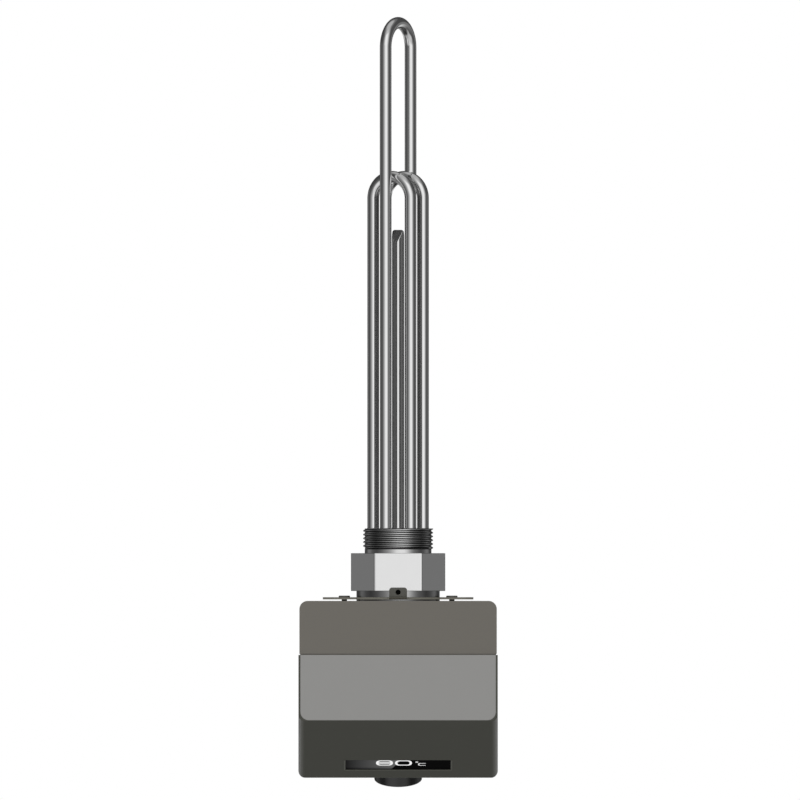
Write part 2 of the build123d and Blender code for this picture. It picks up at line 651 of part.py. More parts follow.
def make_control_knob():
    top = KNOB_STAND_OFF + KNOB_HEIGHT
    knob = disc(KNOB_DIA, KNOB_STAND_OFF, top)
    knob = fillet(knob.edges().filter_by(GeomType.CIRCLE).sort_by(Axis.Z)[-1], KNOB_EDGE)
    knob -= disc(KNOB_DIA - 2 * KNOB_WALL, KNOB_STAND_OFF, top - KNOB_END)
    dish_radius = KNOB_DIA / 2 - 2 * KNOB_WALL
    ball = (dish_radius**2 + KNOB_DISH_DEPTH**2) / (2 * KNOB_DISH_DEPTH)
    knob -= Pos(0, 0, top + ball - KNOB_DISH_DEPTH) * Sphere(ball)
    hub_low = KNOB_STAND_OFF + KNOB_HUB_SHORT
    knob += disc(KNOB_HUB_DIA, hub_low, top - KNOB_END)
    bore = Pos(0, 0, hub_low) * extrude(shaft_section(BRAZE_GAP), SHAFT_IN_HUB)
    return KNOB_FACE * (knob - bore)


def make_encoder_shaft():
    high = KNOB_STAND_OFF + KNOB_HUB_SHORT + SHAFT_IN_HUB - BRAZE_GAP
    low = -COVER_WALL - SHAFT_IN_BODY
    return KNOB_FACE * Pos(0, 0, low) * extrude(shaft_section(0), high - low)


def make_encoder_rotor():
    high = BUSHING_PROUD - SLIP_GAP
    low = -COVER_WALL - SHAFT_IN_BODY + PRESS_TRAVEL
    rotor = disc(ROTOR_DIA, low, high)
    bore = Pos(0, 0, low) * extrude(shaft_section(SLIP_GAP), high - low)
    return KNOB_FACE * (rotor - bore)


def make_encoder_body():
    body = slab(ENCODER_WIDTH, ENCODER_WIDTH, -COVER_WALL - ENCODER_HEIGHT, -COVER_WALL)
    body += disc(BUSHING_DIA, -COVER_WALL, BUSHING_PROUD)
    rotor_low = -COVER_WALL - SHAFT_IN_BODY + PRESS_TRAVEL - SLIP_GAP
    body -= disc(ROTOR_DIA + 2 * SLIP_GAP, rotor_low, BUSHING_PROUD)
    well_low = -COVER_WALL - SHAFT_IN_BODY - PRESS_TRAVEL - SLIP_GAP
    body -= disc(SHAFT_DIA + 2 * SLIP_GAP, well_low, rotor_low)
    return KNOB_FACE * body


def make_encoder_nut():
    nut = hex_bar(BUSHING_DIA + 2 * ENCODER_NUT_RIM, 0, ENCODER_NUT_HEIGHT)
    return KNOB_FACE * (nut - disc(BUSHING_DIA + 2 * SLIP_GAP, 0, ENCODER_NUT_HEIGHT))


def make_encoder_board():
    high = -COVER_WALL - ENCODER_HEIGHT
    board = slab(ENCODER_BOARD_SIZE, ENCODER_BOARD_SIZE, high - BOARD_THICKNESS, high)
    return KNOB_FACE * board


# Power board and what stands on it
def on_board(size, x, y):
    """A block that stands on the board's outer side, at a place on the board."""
    low = BOARD_Z - BOARD_THICKNESS - size[2]
    return Pos(x, y, 0) * slab(size[0], size[1], low, BOARD_Z - BOARD_THICKNESS)


def make_power_board():
    board = slab(POWER_BOARD_WIDTH, POWER_BOARD_DEPTH, BOARD_Z - BOARD_THICKNESS, BOARD_Z)
    for x, y in board_screw_places():
        hole = disc(SMALL_SCREW_DIA + 2 * SLIP_GAP, BOARD_Z - BOARD_THICKNESS, BOARD_Z)
        board -= Pos(x, y, 0) * hole
    return board


def make_board_screws():
    screw = small_screw(BOARD_Z - BOARD_THICKNESS)
    return [Pos(x, y, 0) * screw for x, y in board_screw_places()]


def make_relays():
    first = -(RELAY_COUNT - 1) / 2 * RELAY_SPACING
    places = [first + number * RELAY_SPACING for number in range(RELAY_COUNT)]
    relays = []
    for x in places:
        relay = on_board(RELAY_SIZE, x, RELAY_ROW_Y)
        relays.append(chamfer(relay.edges().filter_by(Axis.Z), EDGE_BREAK))
    return relays


def make_transformer():
    x, y = TRANSFORMER_PLACE
    core = on_board(TRANSFORMER_SIZE, x, y)
    return chamfer(core.edges().filter_by(Axis.Z), 2 * EDGE_BREAK)


def make_capacitors():
    x, y = CAPACITOR_PLACE
    high = BOARD_Z - BOARD_THICKNESS
    can = disc(CAPACITOR_DIA, high - CAPACITOR_HEIGHT, high)
    return [Pos(x, y + side * CAPACITOR_SPACING / 2, 0) * can for side in (-1, 1)]


def make_fuse_holder():
    x, y = FUSE_PLACE
    holder = on_board(FUSE_SIZE, x, y)
    return chamfer(holder.edges().filter_by(Axis.Z), EDGE_BREAK)


def make_terminal_block():
    block = on_board(TERMINAL_SIZE, 0, TERMINAL_ROW_Y)
    pitch = TERMINAL_SIZE[0] / TERMINAL_WAYS
    low = BOARD_Z - BOARD_THICKNESS - TERMINAL_SIZE[2]
    for number in range(TERMINAL_WAYS):
        x = (number + 0.5) * pitch - TERMINAL_SIZE[0] / 2
        well = disc(TERMINAL_SCREW_DIA, low, low + TERMINAL_SCREW_DEPTH)
        block -= Pos(x, TERMINAL_ROW_Y, 0) * well
    return block


# Safety limiter, drawn about its own axis with the underside's outer face at zero
def make_safety_limiter():
    body = disc(LIMITER_DIA, -HOUSING_WALL - LIMITER_DEPTH, -HOUSING_WALL)
    body += disc(LIMITER_NECK_DIA, -HOUSING_WALL, LIMITER_NECK_PROUD)
    button_low = LIMITER_NECK_PROUD - BUTTON_BELOW_NECK - BUTTON_LENGTH
    bore_low = button_low - BUTTON_TRAVEL - SLIP_GAP
    body -= disc(BUTTON_DIA + 2 * SLIP_GAP, bore_low, LIMITER_NECK_PROUD)
    return UNDERSIDE * Pos(LIMITER_X, 0, 0) * body


def make_limiter_button():
    high = LIMITER_NECK_PROUD - BUTTON_BELOW_NECK
    return UNDERSIDE * Pos(LIMITER_X, 0, 0) * disc(BUTTON_DIA, high - BUTTON_LENGTH, high)


def make_limiter_cap():
    cap = disc(LIMITER_CAP_DIA, 0, LIMITER_CAP_HEIGHT)
    cap = fillet(cap.edges().filter_by(GeomType.CIRCLE).sort_by(Axis.Z)[-1], 2 * EDGE_BREAK)
    cap -= disc(LIMITER_NECK_DIA + 2 * SLIP_GAP, 0, LIMITER_CAP_SKIRT)
    return UNDERSIDE * Pos(LIMITER_X, 0, 0) * cap


# Cable gland, drawn about its own axis with the underside's outer face at zero
def make_gland_body():
    body = disc(GLAND_THREAD_DIA, -HOUSING_WALL - GLAND_INSIDE, 0)
    body += hex_bar(GLAND_HEX, 0, GLAND_HEX_HEIGHT)
    body += disc(GLAND_NECK_DIA, GLAND_HEX_HEIGHT, GLAND_HEX_HEIGHT + GLAND_NECK_HEIGHT)
    top = GLAND_HEX_HEIGHT + GLAND_NECK_HEIGHT
    body -= disc(GLAND_BORE_DIA, -HOUSING_WALL - GLAND_INSIDE, top)
    seat_dia = (GLAND_BORE_DIA + GLAND_NECK_DIA) / 2
    body -= disc(seat_dia, top - GLAND_SEAL_LENGTH / 2, top)
    return UNDERSIDE * Pos(GLAND_X, 0, 0) * body


def make_gland_seal():
    top = GLAND_HEX_HEIGHT + GLAND_NECK_HEIGHT
    outer = (GLAND_BORE_DIA + GLAND_NECK_DIA) / 2 - 2 * SLIP_GAP
    low = top - GLAND_SEAL_LENGTH / 2
    seal = ring(outer, GLAND_SEAL_BORE_DIA, low, low + GLAND_SEAL_LENGTH)
    return UNDERSIDE * Pos(GLAND_X, 0, 0) * seal


def make_gland_cap():
    low = GLAND_HEX_HEIGHT + SLIP_GAP
    high = GLAND_HEX_HEIGHT + GLAND_NECK_HEIGHT + GLAND_SEAL_LENGTH / 2 + GLAND_CAP_WALL
    dome = disc(GLAND_HEX, low, high)
    dome = fillet(dome.edges().filter_by(GeomType.CIRCLE).sort_by(Axis.Z)[-1], GLAND_CAP_DOME)
    cap = dome + hex_bar(GLAND_HEX, low, low + GLAND_CAP_HEX_HEIGHT)
    cap -= disc(GLAND_NECK_DIA + 2 * SLIP_GAP, low, high - GLAND_CAP_WALL)
    cap -= disc(GLAND_CAP_HOLE_DIA, low, high)
    return UNDERSIDE * Pos(GLAND_X, 0, 0) * cap


def make_gland_lock_nut():
    high = -HOUSING_WALL
    nut = hex_bar(GLAND_HEX, high - GLAND_NUT_HEIGHT, high)
    nut -= disc(GLAND_THREAD_DIA + 2 * SLIP_GAP, high - GLAND_NUT_HEIGHT, high)
    return UNDERSIDE * Pos(GLAND_X, 0, 0) * nut


# Every node, with the places of the legs that each hairpin joins
def make_nodes():
    return {
        "screw_plug": make_screw_plug(),
        "heating_element_long": make_hairpin(4, 1, LONG_REACH),
        "heating_element_left": make_hairpin(5, 3, SHORT_REACH),
        "heating_element_right": make_hairpin(0, 2, SHORT_REACH),
        "terminal_bushes": make_terminal_bushes(),
        "terminal_pins": make_terminal_pins(),
        "sensor_pocket": make_sensor_pocket(),
        "sensor_probe": make_sensor_probe(),
        "limiter_bulb": make_limiter_bulb(),
        "mounting_plate": make_mounting_plate(),
        "plate_screws": make_plate_screws(),
        "plate_seal": make_plate_seal(),
        "lock_nut": make_lock_nut(),
        "rear_housing": make_rear_housing(),
        "housing_seal": make_housing_seal(),
        "front_cover": make_front_cover(),
        "cover_screws": make_cover_screws(),
        "top_panel": make_top_panel(),
        "display_window": make_display_window(),
        "display_module": make_display_module(),
        "display_board": make_display_board(),
        "display_screws": make_display_screws(),
        "control_knob": make_control_knob(),
        "encoder_shaft": make_encoder_shaft(),
        "encoder_rotor": make_encoder_rotor(),
        "encoder_body": make_encoder_body(),
        "encoder_nut": make_encoder_nut(),
        "encoder_board": make_encoder_board(),
        "power_board": make_power_board(),
        "board_screws": make_board_screws(),
        "relays": make_relays(),
        "transformer": make_transformer(),
        "capacitors": make_capacitors(),
        "fuse_holder": make_fuse_holder(),
        "terminal_block": make_terminal_block(),
        "safety_limiter": make_safety_limiter(),
        "limiter_button": make_limiter_button(),
        "limiter_cap": make_limiter_cap(),
        "gland_body": make_gland_body(),
        "gland_seal": make_gland_seal(),
        "gland_cap": make_gland_cap(),
        "gland_lock_nut": make_gland_lock_nut(),
    }


def write_nodes():
    os.makedirs("parts", exist_ok=True)
    for name, shape in make_nodes().items():
        if isinstance(shape, list):
            shape = Compound(children=[solid for piece in shape for solid in piece.solids()])
        export_step(shape, f"parts/{name}.step")
        print(f"{name}: {len(shape.solids())} solid(s), {shape.volume:.0f} mm3")


write_nodes()
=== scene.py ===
# %% [markdown]
# # Screw plug immersion heater
#
# This heater screws into the wall of a hot water tank. Three bent heating elements and a
# closed sensor pocket stand on a threaded plug, and a box behind the plug holds the
# controls. The construction model already has every piece at its real size, so the work
# here is on looks: finer meshes where the model is too plain, and a finish for every
# surface. We load the model first, because each new piece takes its size from it.

import json
import math

import bmesh
import bpy
from mathutils import Matrix, Vector


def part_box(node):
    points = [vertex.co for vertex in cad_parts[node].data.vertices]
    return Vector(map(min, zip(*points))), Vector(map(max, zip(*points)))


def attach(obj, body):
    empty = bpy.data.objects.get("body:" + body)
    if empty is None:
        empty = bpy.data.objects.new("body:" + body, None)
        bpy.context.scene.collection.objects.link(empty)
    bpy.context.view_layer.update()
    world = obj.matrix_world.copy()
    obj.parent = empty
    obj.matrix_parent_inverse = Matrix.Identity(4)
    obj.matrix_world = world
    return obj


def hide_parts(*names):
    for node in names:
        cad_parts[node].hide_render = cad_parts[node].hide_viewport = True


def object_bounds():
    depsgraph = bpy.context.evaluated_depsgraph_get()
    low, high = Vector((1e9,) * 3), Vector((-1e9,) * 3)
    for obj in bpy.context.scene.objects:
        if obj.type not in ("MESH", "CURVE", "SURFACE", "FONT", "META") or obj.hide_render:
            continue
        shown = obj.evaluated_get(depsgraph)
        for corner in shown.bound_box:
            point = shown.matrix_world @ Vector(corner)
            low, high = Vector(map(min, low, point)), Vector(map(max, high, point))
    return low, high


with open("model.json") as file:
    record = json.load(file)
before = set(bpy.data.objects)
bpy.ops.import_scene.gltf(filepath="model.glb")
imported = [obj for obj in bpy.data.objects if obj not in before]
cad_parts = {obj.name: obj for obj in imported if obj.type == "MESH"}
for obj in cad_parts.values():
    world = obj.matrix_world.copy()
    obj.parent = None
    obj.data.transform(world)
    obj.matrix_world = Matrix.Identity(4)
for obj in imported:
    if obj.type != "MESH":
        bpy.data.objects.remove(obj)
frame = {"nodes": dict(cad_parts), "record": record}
nodes = frame["nodes"]
cad_low, cad_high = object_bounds()
print("model from", [round(v, 4) for v in cad_low], "to", [round(v, 4) for v in cad_high])

# %% [markdown]
# ## Sizes that the pieces share
#
# The leg circle and the tube's radius can be worked out from two boxes. One leg of the
# right element stands on the X axis, and one of the long element stands a sixth of a turn
# further, so their outer edges differ by half the circle's radius.

# %% Read the elements and the plug
MM = 0.001
TURN = 2 * math.pi

long_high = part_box("heating_element_long")[1]
right_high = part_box("heating_element_right")[1]
leg_circle = 2 * (right_high.x - long_high.x)
tube_radius = right_high.x - leg_circle
mounts = {mount["name"]: mount for mount in frame["record"]["mounts"]}
thread_radius = mounts["tank_thread"]["dims"]["r_mm"] * MM
thread_length = mounts["tank_thread"]["dims"]["length_mm"] * MM
thread_low = mounts["tank_thread"]["pos_m"][2] - thread_length / 2
thread_top = thread_low + thread_length
print(f"legs on a circle of {leg_circle / MM:.2f} mm, tube radius {tube_radius / MM:.2f} mm")
print(f"thread radius {thread_radius / MM:.2f} mm, from {thread_low / MM:.2f} to {thread_top / MM:.2f} mm")

# %% [markdown]
# ## The camera
#
# The photograph looks straight at the box's light panel, and nothing in it narrows with
# distance, so the camera has no perspective. The thread is a standard size and spans 70
# pixels, which gives the width that one pixel stands for.

# %% Place the camera
PICTURE_SIDE = 800
THREAD_PIXELS = 70.0
AXIS_PIXEL_X = 398.1
HEX_TOP_PIXEL_Y = 553.2
CAMERA_DISTANCE = 2.0

pixel = 2 * thread_radius / THREAD_PIXELS
middle = PICTURE_SIDE / 2
camera_data = bpy.data.cameras.new("camera")
camera_data.type = "ORTHO"
camera_data.ortho_scale = PICTURE_SIDE * pixel
camera_data.clip_end = 100
camera = bpy.data.objects.new("camera", camera_data)
camera.location = ((middle - AXIS_PIXEL_X) * pixel, -CAMERA_DISTANCE, (HEX_TOP_PIXEL_Y - middle) * pixel)
camera.rotation_euler = (math.radians(90), 0, 0)
scene = bpy.context.scene
scene.collection.objects.link(camera)
scene.camera = camera
scene.view_settings.view_transform = "Standard"
print(f"one pixel is {pixel / MM:.4f} mm")

# %% [markdown]
# ## Shader maths as Python
#
# A finish is a small program in nodes. `Signal` wraps one output socket, so that masks and
# patterns can be added and multiplied like numbers, and `Finish` makes the nodes.

# %% A socket that does arithmetic
class Signal:
    """One output socket of a finish, with Python's arithmetic on its values."""

    def __init__(self, finish, socket):
        self.finish = finish
        self.socket = socket

    def math(self, operation, first, second=0.0):
        settings = {"operation": operation}
        return self.finish.node("ShaderNodeMath", settings, {0: first, 1: second})

    def __add__(self, other):
        return self.math("ADD", self, other)

    __radd__ = __add__

    def __sub__(self, other):
        return self.math("SUBTRACT", self, other)

    def __rsub__(self, other):
        return self.math("SUBTRACT", other, self)

    def __mul__(self, other):
        return self.math("MULTIPLY", self, other)

    __rmul__ = __mul__


# %% A finish that makes its own nodes
class Finish:
    """A node tree that ends in one shader. It belongs to a material or to the world."""

    def __init__(self, owner, shader="ShaderNodeBsdfPrincipled", end="ShaderNodeOutputMaterial"):
        owner.use_nodes = True
        self.owner = owner
        self.tree = owner.node_tree
        self.tree.nodes.clear()
        self.shader = self.tree.nodes.new(shader)
        output = self.tree.nodes.new(end)
        self.tree.links.new(self.shader.outputs[0], output.inputs["Surface"])

    def plug(self, socket, value):
        if isinstance(value, Signal):
            self.tree.links.new(value.socket, socket)
        else:
            socket.default_value = value

    def node(self, kind, settings=None, inputs=None, output=0):
        """Makes a node: its settings first, then the values or links of its sockets."""
        made = self.tree.nodes.new(kind)
        for name, value in (settings or {}).items():
            setattr(made, name, value)
        for name, value in (inputs or {}).items():
            self.plug(made.inputs[name], value)
        return Signal(self, made.outputs[output])

    def set(self, **values):
        """Sets the shader's sockets. An underscore stands for the space in a name."""
        for name, value in values.items():
            self.plug(self.shader.inputs[name.replace("_", " ")], value)

    def place(self):
        """Where a point lies in the object's own frame, in metres."""
        return self.node("ShaderNodeTexCoord", output="Object")

    def vector(self, operation, first, second, output="Vector"):
        return self.node("ShaderNodeVectorMath", {"operation": operation}, {0: first, 1: second}, output)

    def stretched(self, place, scale):
        """A place scaled along each axis, so that a pattern runs longer one way."""
        return self.vector("MULTIPLY", place, scale)

    def distance(self, place, axes):
        """How far a place is from the origin, along the axes that are given as 1."""
        return self.vector("LENGTH", self.stretched(place, axes), (0, 0, 0), "Value")

    def axis(self, place, name):
        return self.node("ShaderNodeSeparateXYZ", {}, {0: place}, output=name)

    def noise(self, place, size, detail=2.0):
        """Soft random values about 0.5, with lumps of about one size in metres."""
        inputs = {"Vector": place, "Scale": 1 / size, "Detail": detail}
        return self.node("ShaderNodeTexNoise", {}, inputs, output="Fac")

    def between(self, value, low, high):
        """0 up to low, 1 from high on, and an even rise in between."""
        inputs = {"Value": value, "From Min": low, "From Max": high}
        return self.node("ShaderNodeMapRange", {"clamp": True}, inputs, output="Result")

    def mix(self, mask, first, second):
        """The first colour where the mask is 0 and the second where it is 1."""
        inputs = {0: mask, 6: first, 7: second}
        return self.node("ShaderNodeMix", {"data_type": "RGBA"}, inputs, output=2)

    def relief(self, height, depth):
        """Turns a height from 0 to 1 into bumps of that depth in metres."""
        inputs = {"Height": height, "Distance": depth}
        self.set(Normal=self.node("ShaderNodeBump", {}, inputs))


def paint(red, green, blue, light=1.0):
    """A colour as a picture's 0 to 255 values, turned into the light that it reflects."""

    def linear(value):
        share = value / 255
        return share / 12.92 if share <= 0.04045 else ((share + 0.055) / 1.055) ** 2.4

    return tuple(linear(value) * light for value in (red, green, blue)) + (1.0,)


def grey(value, light=1.0):
    return paint(value, value, value, light)


def drifting(finish, tone, drift, fine, broad, fine_share=0.5):
    """A tone that grows lighter and darker by a share, with fine marks and with broad clouds."""
    tones = [paint(*tone, 1 - drift), paint(*tone, 1 + drift)]
    return finish.mix(broad * (1 - fine_share) + fine * fine_share, *tones)


# %% [markdown]
# ## Finishes for metal
#
# Drawn tube has hair-fine scratches along its length. Where the tube bends, the scratches
# bend with it, so the pattern can't be read from the object's place in space. Each tube
# mesh stores where a point would lie if the tube were straight, and the finish reads that.
# The tubes get painted shade where they face each other: on the inner sides of the legs,
# up to a little under the short bends, and on the underside of each bend.

# %% Drawn steel for the heating elements
FROM_AXIS = (1, 1, 0)
MARK_SHARE = 0.6
DRAWN_LENGTHEN = 0.015
SCRATCH_WIDTH = 0.25 * MM
SCRATCH_DEPTH = 0.0003 * MM
PRESS_EDGE = 0.45 * MM
PRESS_TONE = 180
PRESS_ROUGH = 0.2
INSIDE_SHADE_TONE = 145
INSIDE_FADE = 3 * MM
INSIDE_START = 15 * MM
UNDER_SHADE_TONE = 100
UNDER_START = -0.55
UNDER_FULL = -0.7
inside_top = right_high.z - INSIDE_START


def painted_tube_shade(finish, color):
    """Darkens a tube's colour with painted shade where it faces the other tubes and under its bends."""
    place = finish.place()
    distance = finish.distance(place, FROM_AXIS)
    inside = finish.between(distance, leg_circle, leg_circle - INSIDE_FADE)
    below = finish.between(finish.axis(place, "Z"), inside_top, inside_top - INSIDE_FADE)
    color = finish.mix(inside * below, color, grey(INSIDE_SHADE_TONE))
    upwards = finish.axis(finish.node("ShaderNodeNewGeometry", output="Normal"), "Z")
    under = finish.between(upwards, UNDER_START, UNDER_FULL)
    return finish.mix(under, color, grey(UNDER_SHADE_TONE))


def drawn_steel(name, tone, rough, straight=None, round_radius=0.0):
    """Bright metal with scratches along Z, or along the straight form that a tube's mesh stores.

    A tube with a straight form gets painted shade where it faces the other tubes. With a radius
    given, what lies inside it is pressed flat, which makes it darker and dull.
    """
    finish = Finish(bpy.data.materials.new(name))
    if straight:
        place = finish.node("ShaderNodeAttribute", {"attribute_name": straight}, output="Vector")
    else:
        place = finish.place()
    scratch = finish.noise(finish.stretched(place, (1, 1, DRAWN_LENGTHEN)), SCRATCH_WIDTH, 3)
    cloud = finish.noise(finish.stretched(place, (1, 1, 0.2)), 6 * MM)
    color = drifting(finish, tone, 0.04, scratch, cloud, MARK_SHARE)
    gloss = scratch * 0.04 + rough
    # A tube with a straight form gets painted shade between the tubes and under its bends.
    if straight:
        color = painted_tube_shade(finish, color)
    if round_radius:
        distance = finish.distance(place, FROM_AXIS)
        pressed = finish.between(distance, round_radius - PRESS_EDGE, round_radius - 1.5 * PRESS_EDGE)
        color = finish.mix(pressed, color, grey(PRESS_TONE))
        gloss = pressed * PRESS_ROUGH + gloss
    finish.set(Base_Color=color, Metallic=1.0, Roughness=gloss)
    finish.relief(scratch, SCRATCH_DEPTH)
    return finish.owner


STRAIGHT_FORM = "straight_form"
element_steel = drawn_steel("element_steel", (224, 224, 224), 0.04, STRAIGHT_FORM)
pocket_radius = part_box("sensor_pocket")[1].x
pocket_steel = drawn_steel("pocket_steel", (218, 218, 218), 0.05, round_radius=pocket_radius)
zinc = drawn_steel("zinc", (190, 190, 190), 0.2)
print("drawn steel:", element_steel.name, pocket_steel.name, zinc.name)

# %% [markdown]
# The plug is turned on a lathe, so its marks are rings about the axis. A pattern that is
# read from the distance to the axis and the height, and not from the direction, has the
# same value all the way round, which is a ring. The six flats are milled, and their marks
# run across. Behind the hole in the plate's tab both get painted shade, which is a mask
# from the distance to the hole's own axis.

# %% Turned and milled metal for the plug and other round parts
HOLE_SHADE_SPREAD = 1.3
HOLE_SHADE_TONE = 8


def hole_shade_mask(finish, place):
    """Painted shade behind the hole in the plate's front tab: 1 there, and 0 elsewhere."""
    hole = mounts["tab_hole"]
    radius = hole["dims"]["r_mm"] * MM * HOLE_SHADE_SPREAD
    distance = finish.distance(finish.vector("SUBTRACT", place, hole["pos_m"]), (1, 0, 1))
    in_front = finish.between(finish.axis(place, "Y"), 0, -MM)
    return finish.between(distance, radius, radius * 0.8) * in_front


def turned_metal(name, tone, rough, hole_shaded=False):
    """Metal with lathe rings about an upright axis through the origin, and painted shade behind the tab's
    hole if asked.
    """
    finish = Finish(bpy.data.materials.new(name))
    place = finish.place()
    distance = finish.distance(place, FROM_AXIS)
    height = finish.axis(place, "Z")
    ring_place = finish.node("ShaderNodeCombineXYZ", {}, {"X": distance, "Z": height})
    ring = finish.noise(ring_place, 0.3 * MM, 3)
    cloud = finish.noise(place, 5 * MM)
    color = drifting(finish, tone, 0.05, ring, cloud, MARK_SHARE)
    # Painted shade behind the tab's hole.
    if hole_shaded:
        color = finish.mix(hole_shade_mask(finish, place), color, grey(HOLE_SHADE_TONE))
    finish.set(Base_Color=color, Metallic=1.0, Roughness=rough + ring * 0.08)
    finish.relief(ring, 0.001 * MM)
    return finish.owner


def milled_metal(name, tone, rough):
    """Flat metal with faint cutter marks that run round the plug, and painted shade behind the tab's hole.
    """
    finish = Finish(bpy.data.materials.new(name))
    place = finish.place()
    mark = finish.noise(finish.stretched(place, (0.04, 0.04, 1)), 0.35 * MM, 3)
    cloud = finish.noise(place, 8 * MM)
    color = drifting(finish, tone, 0.03, mark, cloud)
    # Painted shade behind the tab's hole.
    finish.set(Base_Color=finish.mix(hole_shade_mask(finish, place), color, grey(HOLE_SHADE_TONE)))
    finish.set(Metallic=1.0, Roughness=rough + mark * 0.06)
    finish.relief(mark, 0.0006 * MM)
    return finish.owner


plug_steel = turned_metal("plug_steel", (212, 212, 212), 0.1, hole_shaded=True)
thread_steel = turned_metal("thread_steel", (206, 206, 206), 0.12)
# Flanks and collar: the same steel made darker, which is painted shade.
thread_flank = turned_metal("thread_flank", (112, 112, 112), 0.2)
flat_steel = milled_metal("flat_steel", (219, 219, 219), 0.07)
collar_steel = turned_metal("collar_steel", (180, 180, 180), 0.1, hole_shaded=True)
seal_face = turned_metal("seal_face", (134, 134, 134), 0.08)
brass = turned_metal("brass", (196, 168, 104), 0.24)
print("turned and milled:", plug_steel.name, thread_steel.name, flat_steel.name, collar_steel.name)

# %% [markdown]
# ## Finishes for moulded and painted parts
#
# Sprayed paint has a soft orange peel, and a moulded cover has a fine spark texture. Both
# are the same recipe with another grain: fine noise for the relief and the gloss, and
# broad noise for a hardly visible drift in tone, which keeps a large face from looking flat.

# %% One recipe for every coated surface
BROAD_LUMPS = 60
GLOSS_SPREAD = 0.12


def coated(name, tone, grain, depth, rough, drift=0.03, gloss=0.5):
    """A painted or moulded surface. Grain and depth are in metres."""
    finish = Finish(bpy.data.materials.new(name))
    place = finish.place()
    fine = finish.noise(place, grain, 2)
    broad = finish.noise(place, BROAD_LUMPS * grain, 3)
    finish.set(Base_Color=drifting(finish, tone, drift, fine, broad))
    finish.set(Roughness=fine * GLOSS_SPREAD + (rough - GLOSS_SPREAD / 2), Specular_IOR_Level=gloss)
    finish.relief(fine, depth)
    return finish.owner


housing_paint = coated("housing_paint", (98.5, 95, 88), 0.5 * MM, 0.012 * MM, 0.55)
cover_plastic = coated("cover_plastic", (53, 53.5, 45), 0.35 * MM, 0.012 * MM, 0.34)
# The rim round the glass is the cover's plastic painted lighter, which is painted light.
rim_plastic = coated("rim_plastic", (72, 72, 64), 0.3 * MM, 0.006 * MM, 0.35)
panel_paint = coated("panel_paint", (135, 134.5, 132.5), 0.3 * MM, 0.005 * MM, 0.42)
knob_plastic = coated("knob_plastic", (22, 22, 21), 0.25 * MM, 0.006 * MM, 0.26, gloss=0.6)
dark_fastener = coated("dark_fastener", (11, 11, 11), 0.2 * MM, 0.006 * MM, 0.4, gloss=0.3)
rubber = coated("rubber", (36, 36, 36), 0.3 * MM, 0.012 * MM, 0.75)
gland_plastic = coated("gland_plastic", (44, 45, 44), 0.3 * MM, 0.01 * MM, 0.42)
part_dark = coated("part_dark", (40, 40, 42), 0.3 * MM, 0.01 * MM, 0.45)
part_grey = coated("part_grey", (120, 122, 122), 0.3 * MM, 0.01 * MM, 0.45)
part_blue = coated("part_blue", (38, 78, 128), 0.3 * MM, 0.006 * MM, 0.35)
part_yellow = coated("part_yellow", (196, 164, 52), 0.4 * MM, 0.01 * MM, 0.5)
board_green = coated("board_green", (26, 84, 52), 0.6 * MM, 0.008 * MM, 0.35)
ceramic = coated("ceramic", (226, 222, 212), 0.3 * MM, 0.008 * MM, 0.5)
button_red = coated("button_red", (170, 34, 30), 0.3 * MM, 0.005 * MM, 0.35)
print("finishes so far:", len(bpy.data.materials))

# %% [markdown]
# The mounting plate is painted sheet, punched to shape. Its cut edge gets painted light: a
# tone lighter than its face that lifts the shade the edge lies in above the housing. The
# face's recipe gives that once the tone is a mask of the height: all that lies lower than
# the plate's upper face is the cut edge.

# %% The punched plate
PLATE_THICKNESS = 1.5 * MM
PLATE_FACE_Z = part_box("plate_seal")[1].z + PLATE_THICKNESS
EDGE_START = 0.1 * MM
EDGE_FULL = 0.25 * MM

plate = Finish(bpy.data.materials.new("plate_paint"))
plate_height = plate.axis(plate.place(), "Z")
painted_light_edge = plate.between(plate_height, PLATE_FACE_Z - EDGE_START, PLATE_FACE_Z - EDGE_FULL)
plate_grain = plate.noise(plate.place(), 0.3 * MM)
face_tone = plate.mix(plate_grain, paint(81, 80, 74), paint(84, 83, 77))
# The cut edge's lighter tone is painted light.
plate.set(Base_Color=plate.mix(painted_light_edge, face_tone, paint(126, 124, 114)))
plate.set(Roughness=0.39 + plate_grain * 0.12)
plate.relief(plate_grain, 0.01 * MM)
plate_paint = plate.owner
print("plate face at", round(PLATE_FACE_Z / MM, 2), "mm")

# %% [markdown]
# ## Meshes
#
# Every new piece ends the same way: points that lie on each other are welded, the faces
# turn outwards, and edges that are sharper than a given angle keep a crisp crease while
# the rest is shaded smooth. The piece then rides on a body and takes the node's place.

# %% Make a piece from points and faces
WELD = 0.000001
CREASE = math.radians(32)


def finish_mesh(mesh):
    """Welds, cleans and shades a mesh."""
    work = bmesh.new()
    work.from_mesh(mesh)
    bmesh.ops.remove_doubles(work, verts=work.verts, dist=WELD)
    bmesh.ops.dissolve_degenerate(work, edges=work.edges, dist=WELD)
    bmesh.ops.recalc_face_normals(work, faces=work.faces)
    work.to_mesh(mesh)
    work.free()
    mesh.shade_smooth()
    mesh.set_sharp_from_angle(angle=CREASE)


def add_piece(name, mesh, body, materials, replaced=()):
    """Links a mesh as a piece that rides on a body and may stand for nodes of the model."""
    piece = bpy.data.objects.new(name, mesh)
    scene.collection.objects.link(piece)
    for material in materials:
        mesh.materials.append(material)
    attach(piece, body)
    if replaced:
        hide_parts(*replaced)
    print(f"{name}: {len(mesh.polygons)} faces")


# %% [markdown]
# Round parts, screws and the plug are all stacks of rings. A ring has a height and a
# radius, and the radius may be a rule that gives another value for each direction: that
# is how a round bar turns into a hexagon, or a screw head into its recess. Faces then
# join each ring with the next. A small class collects such stacks in one mesh.

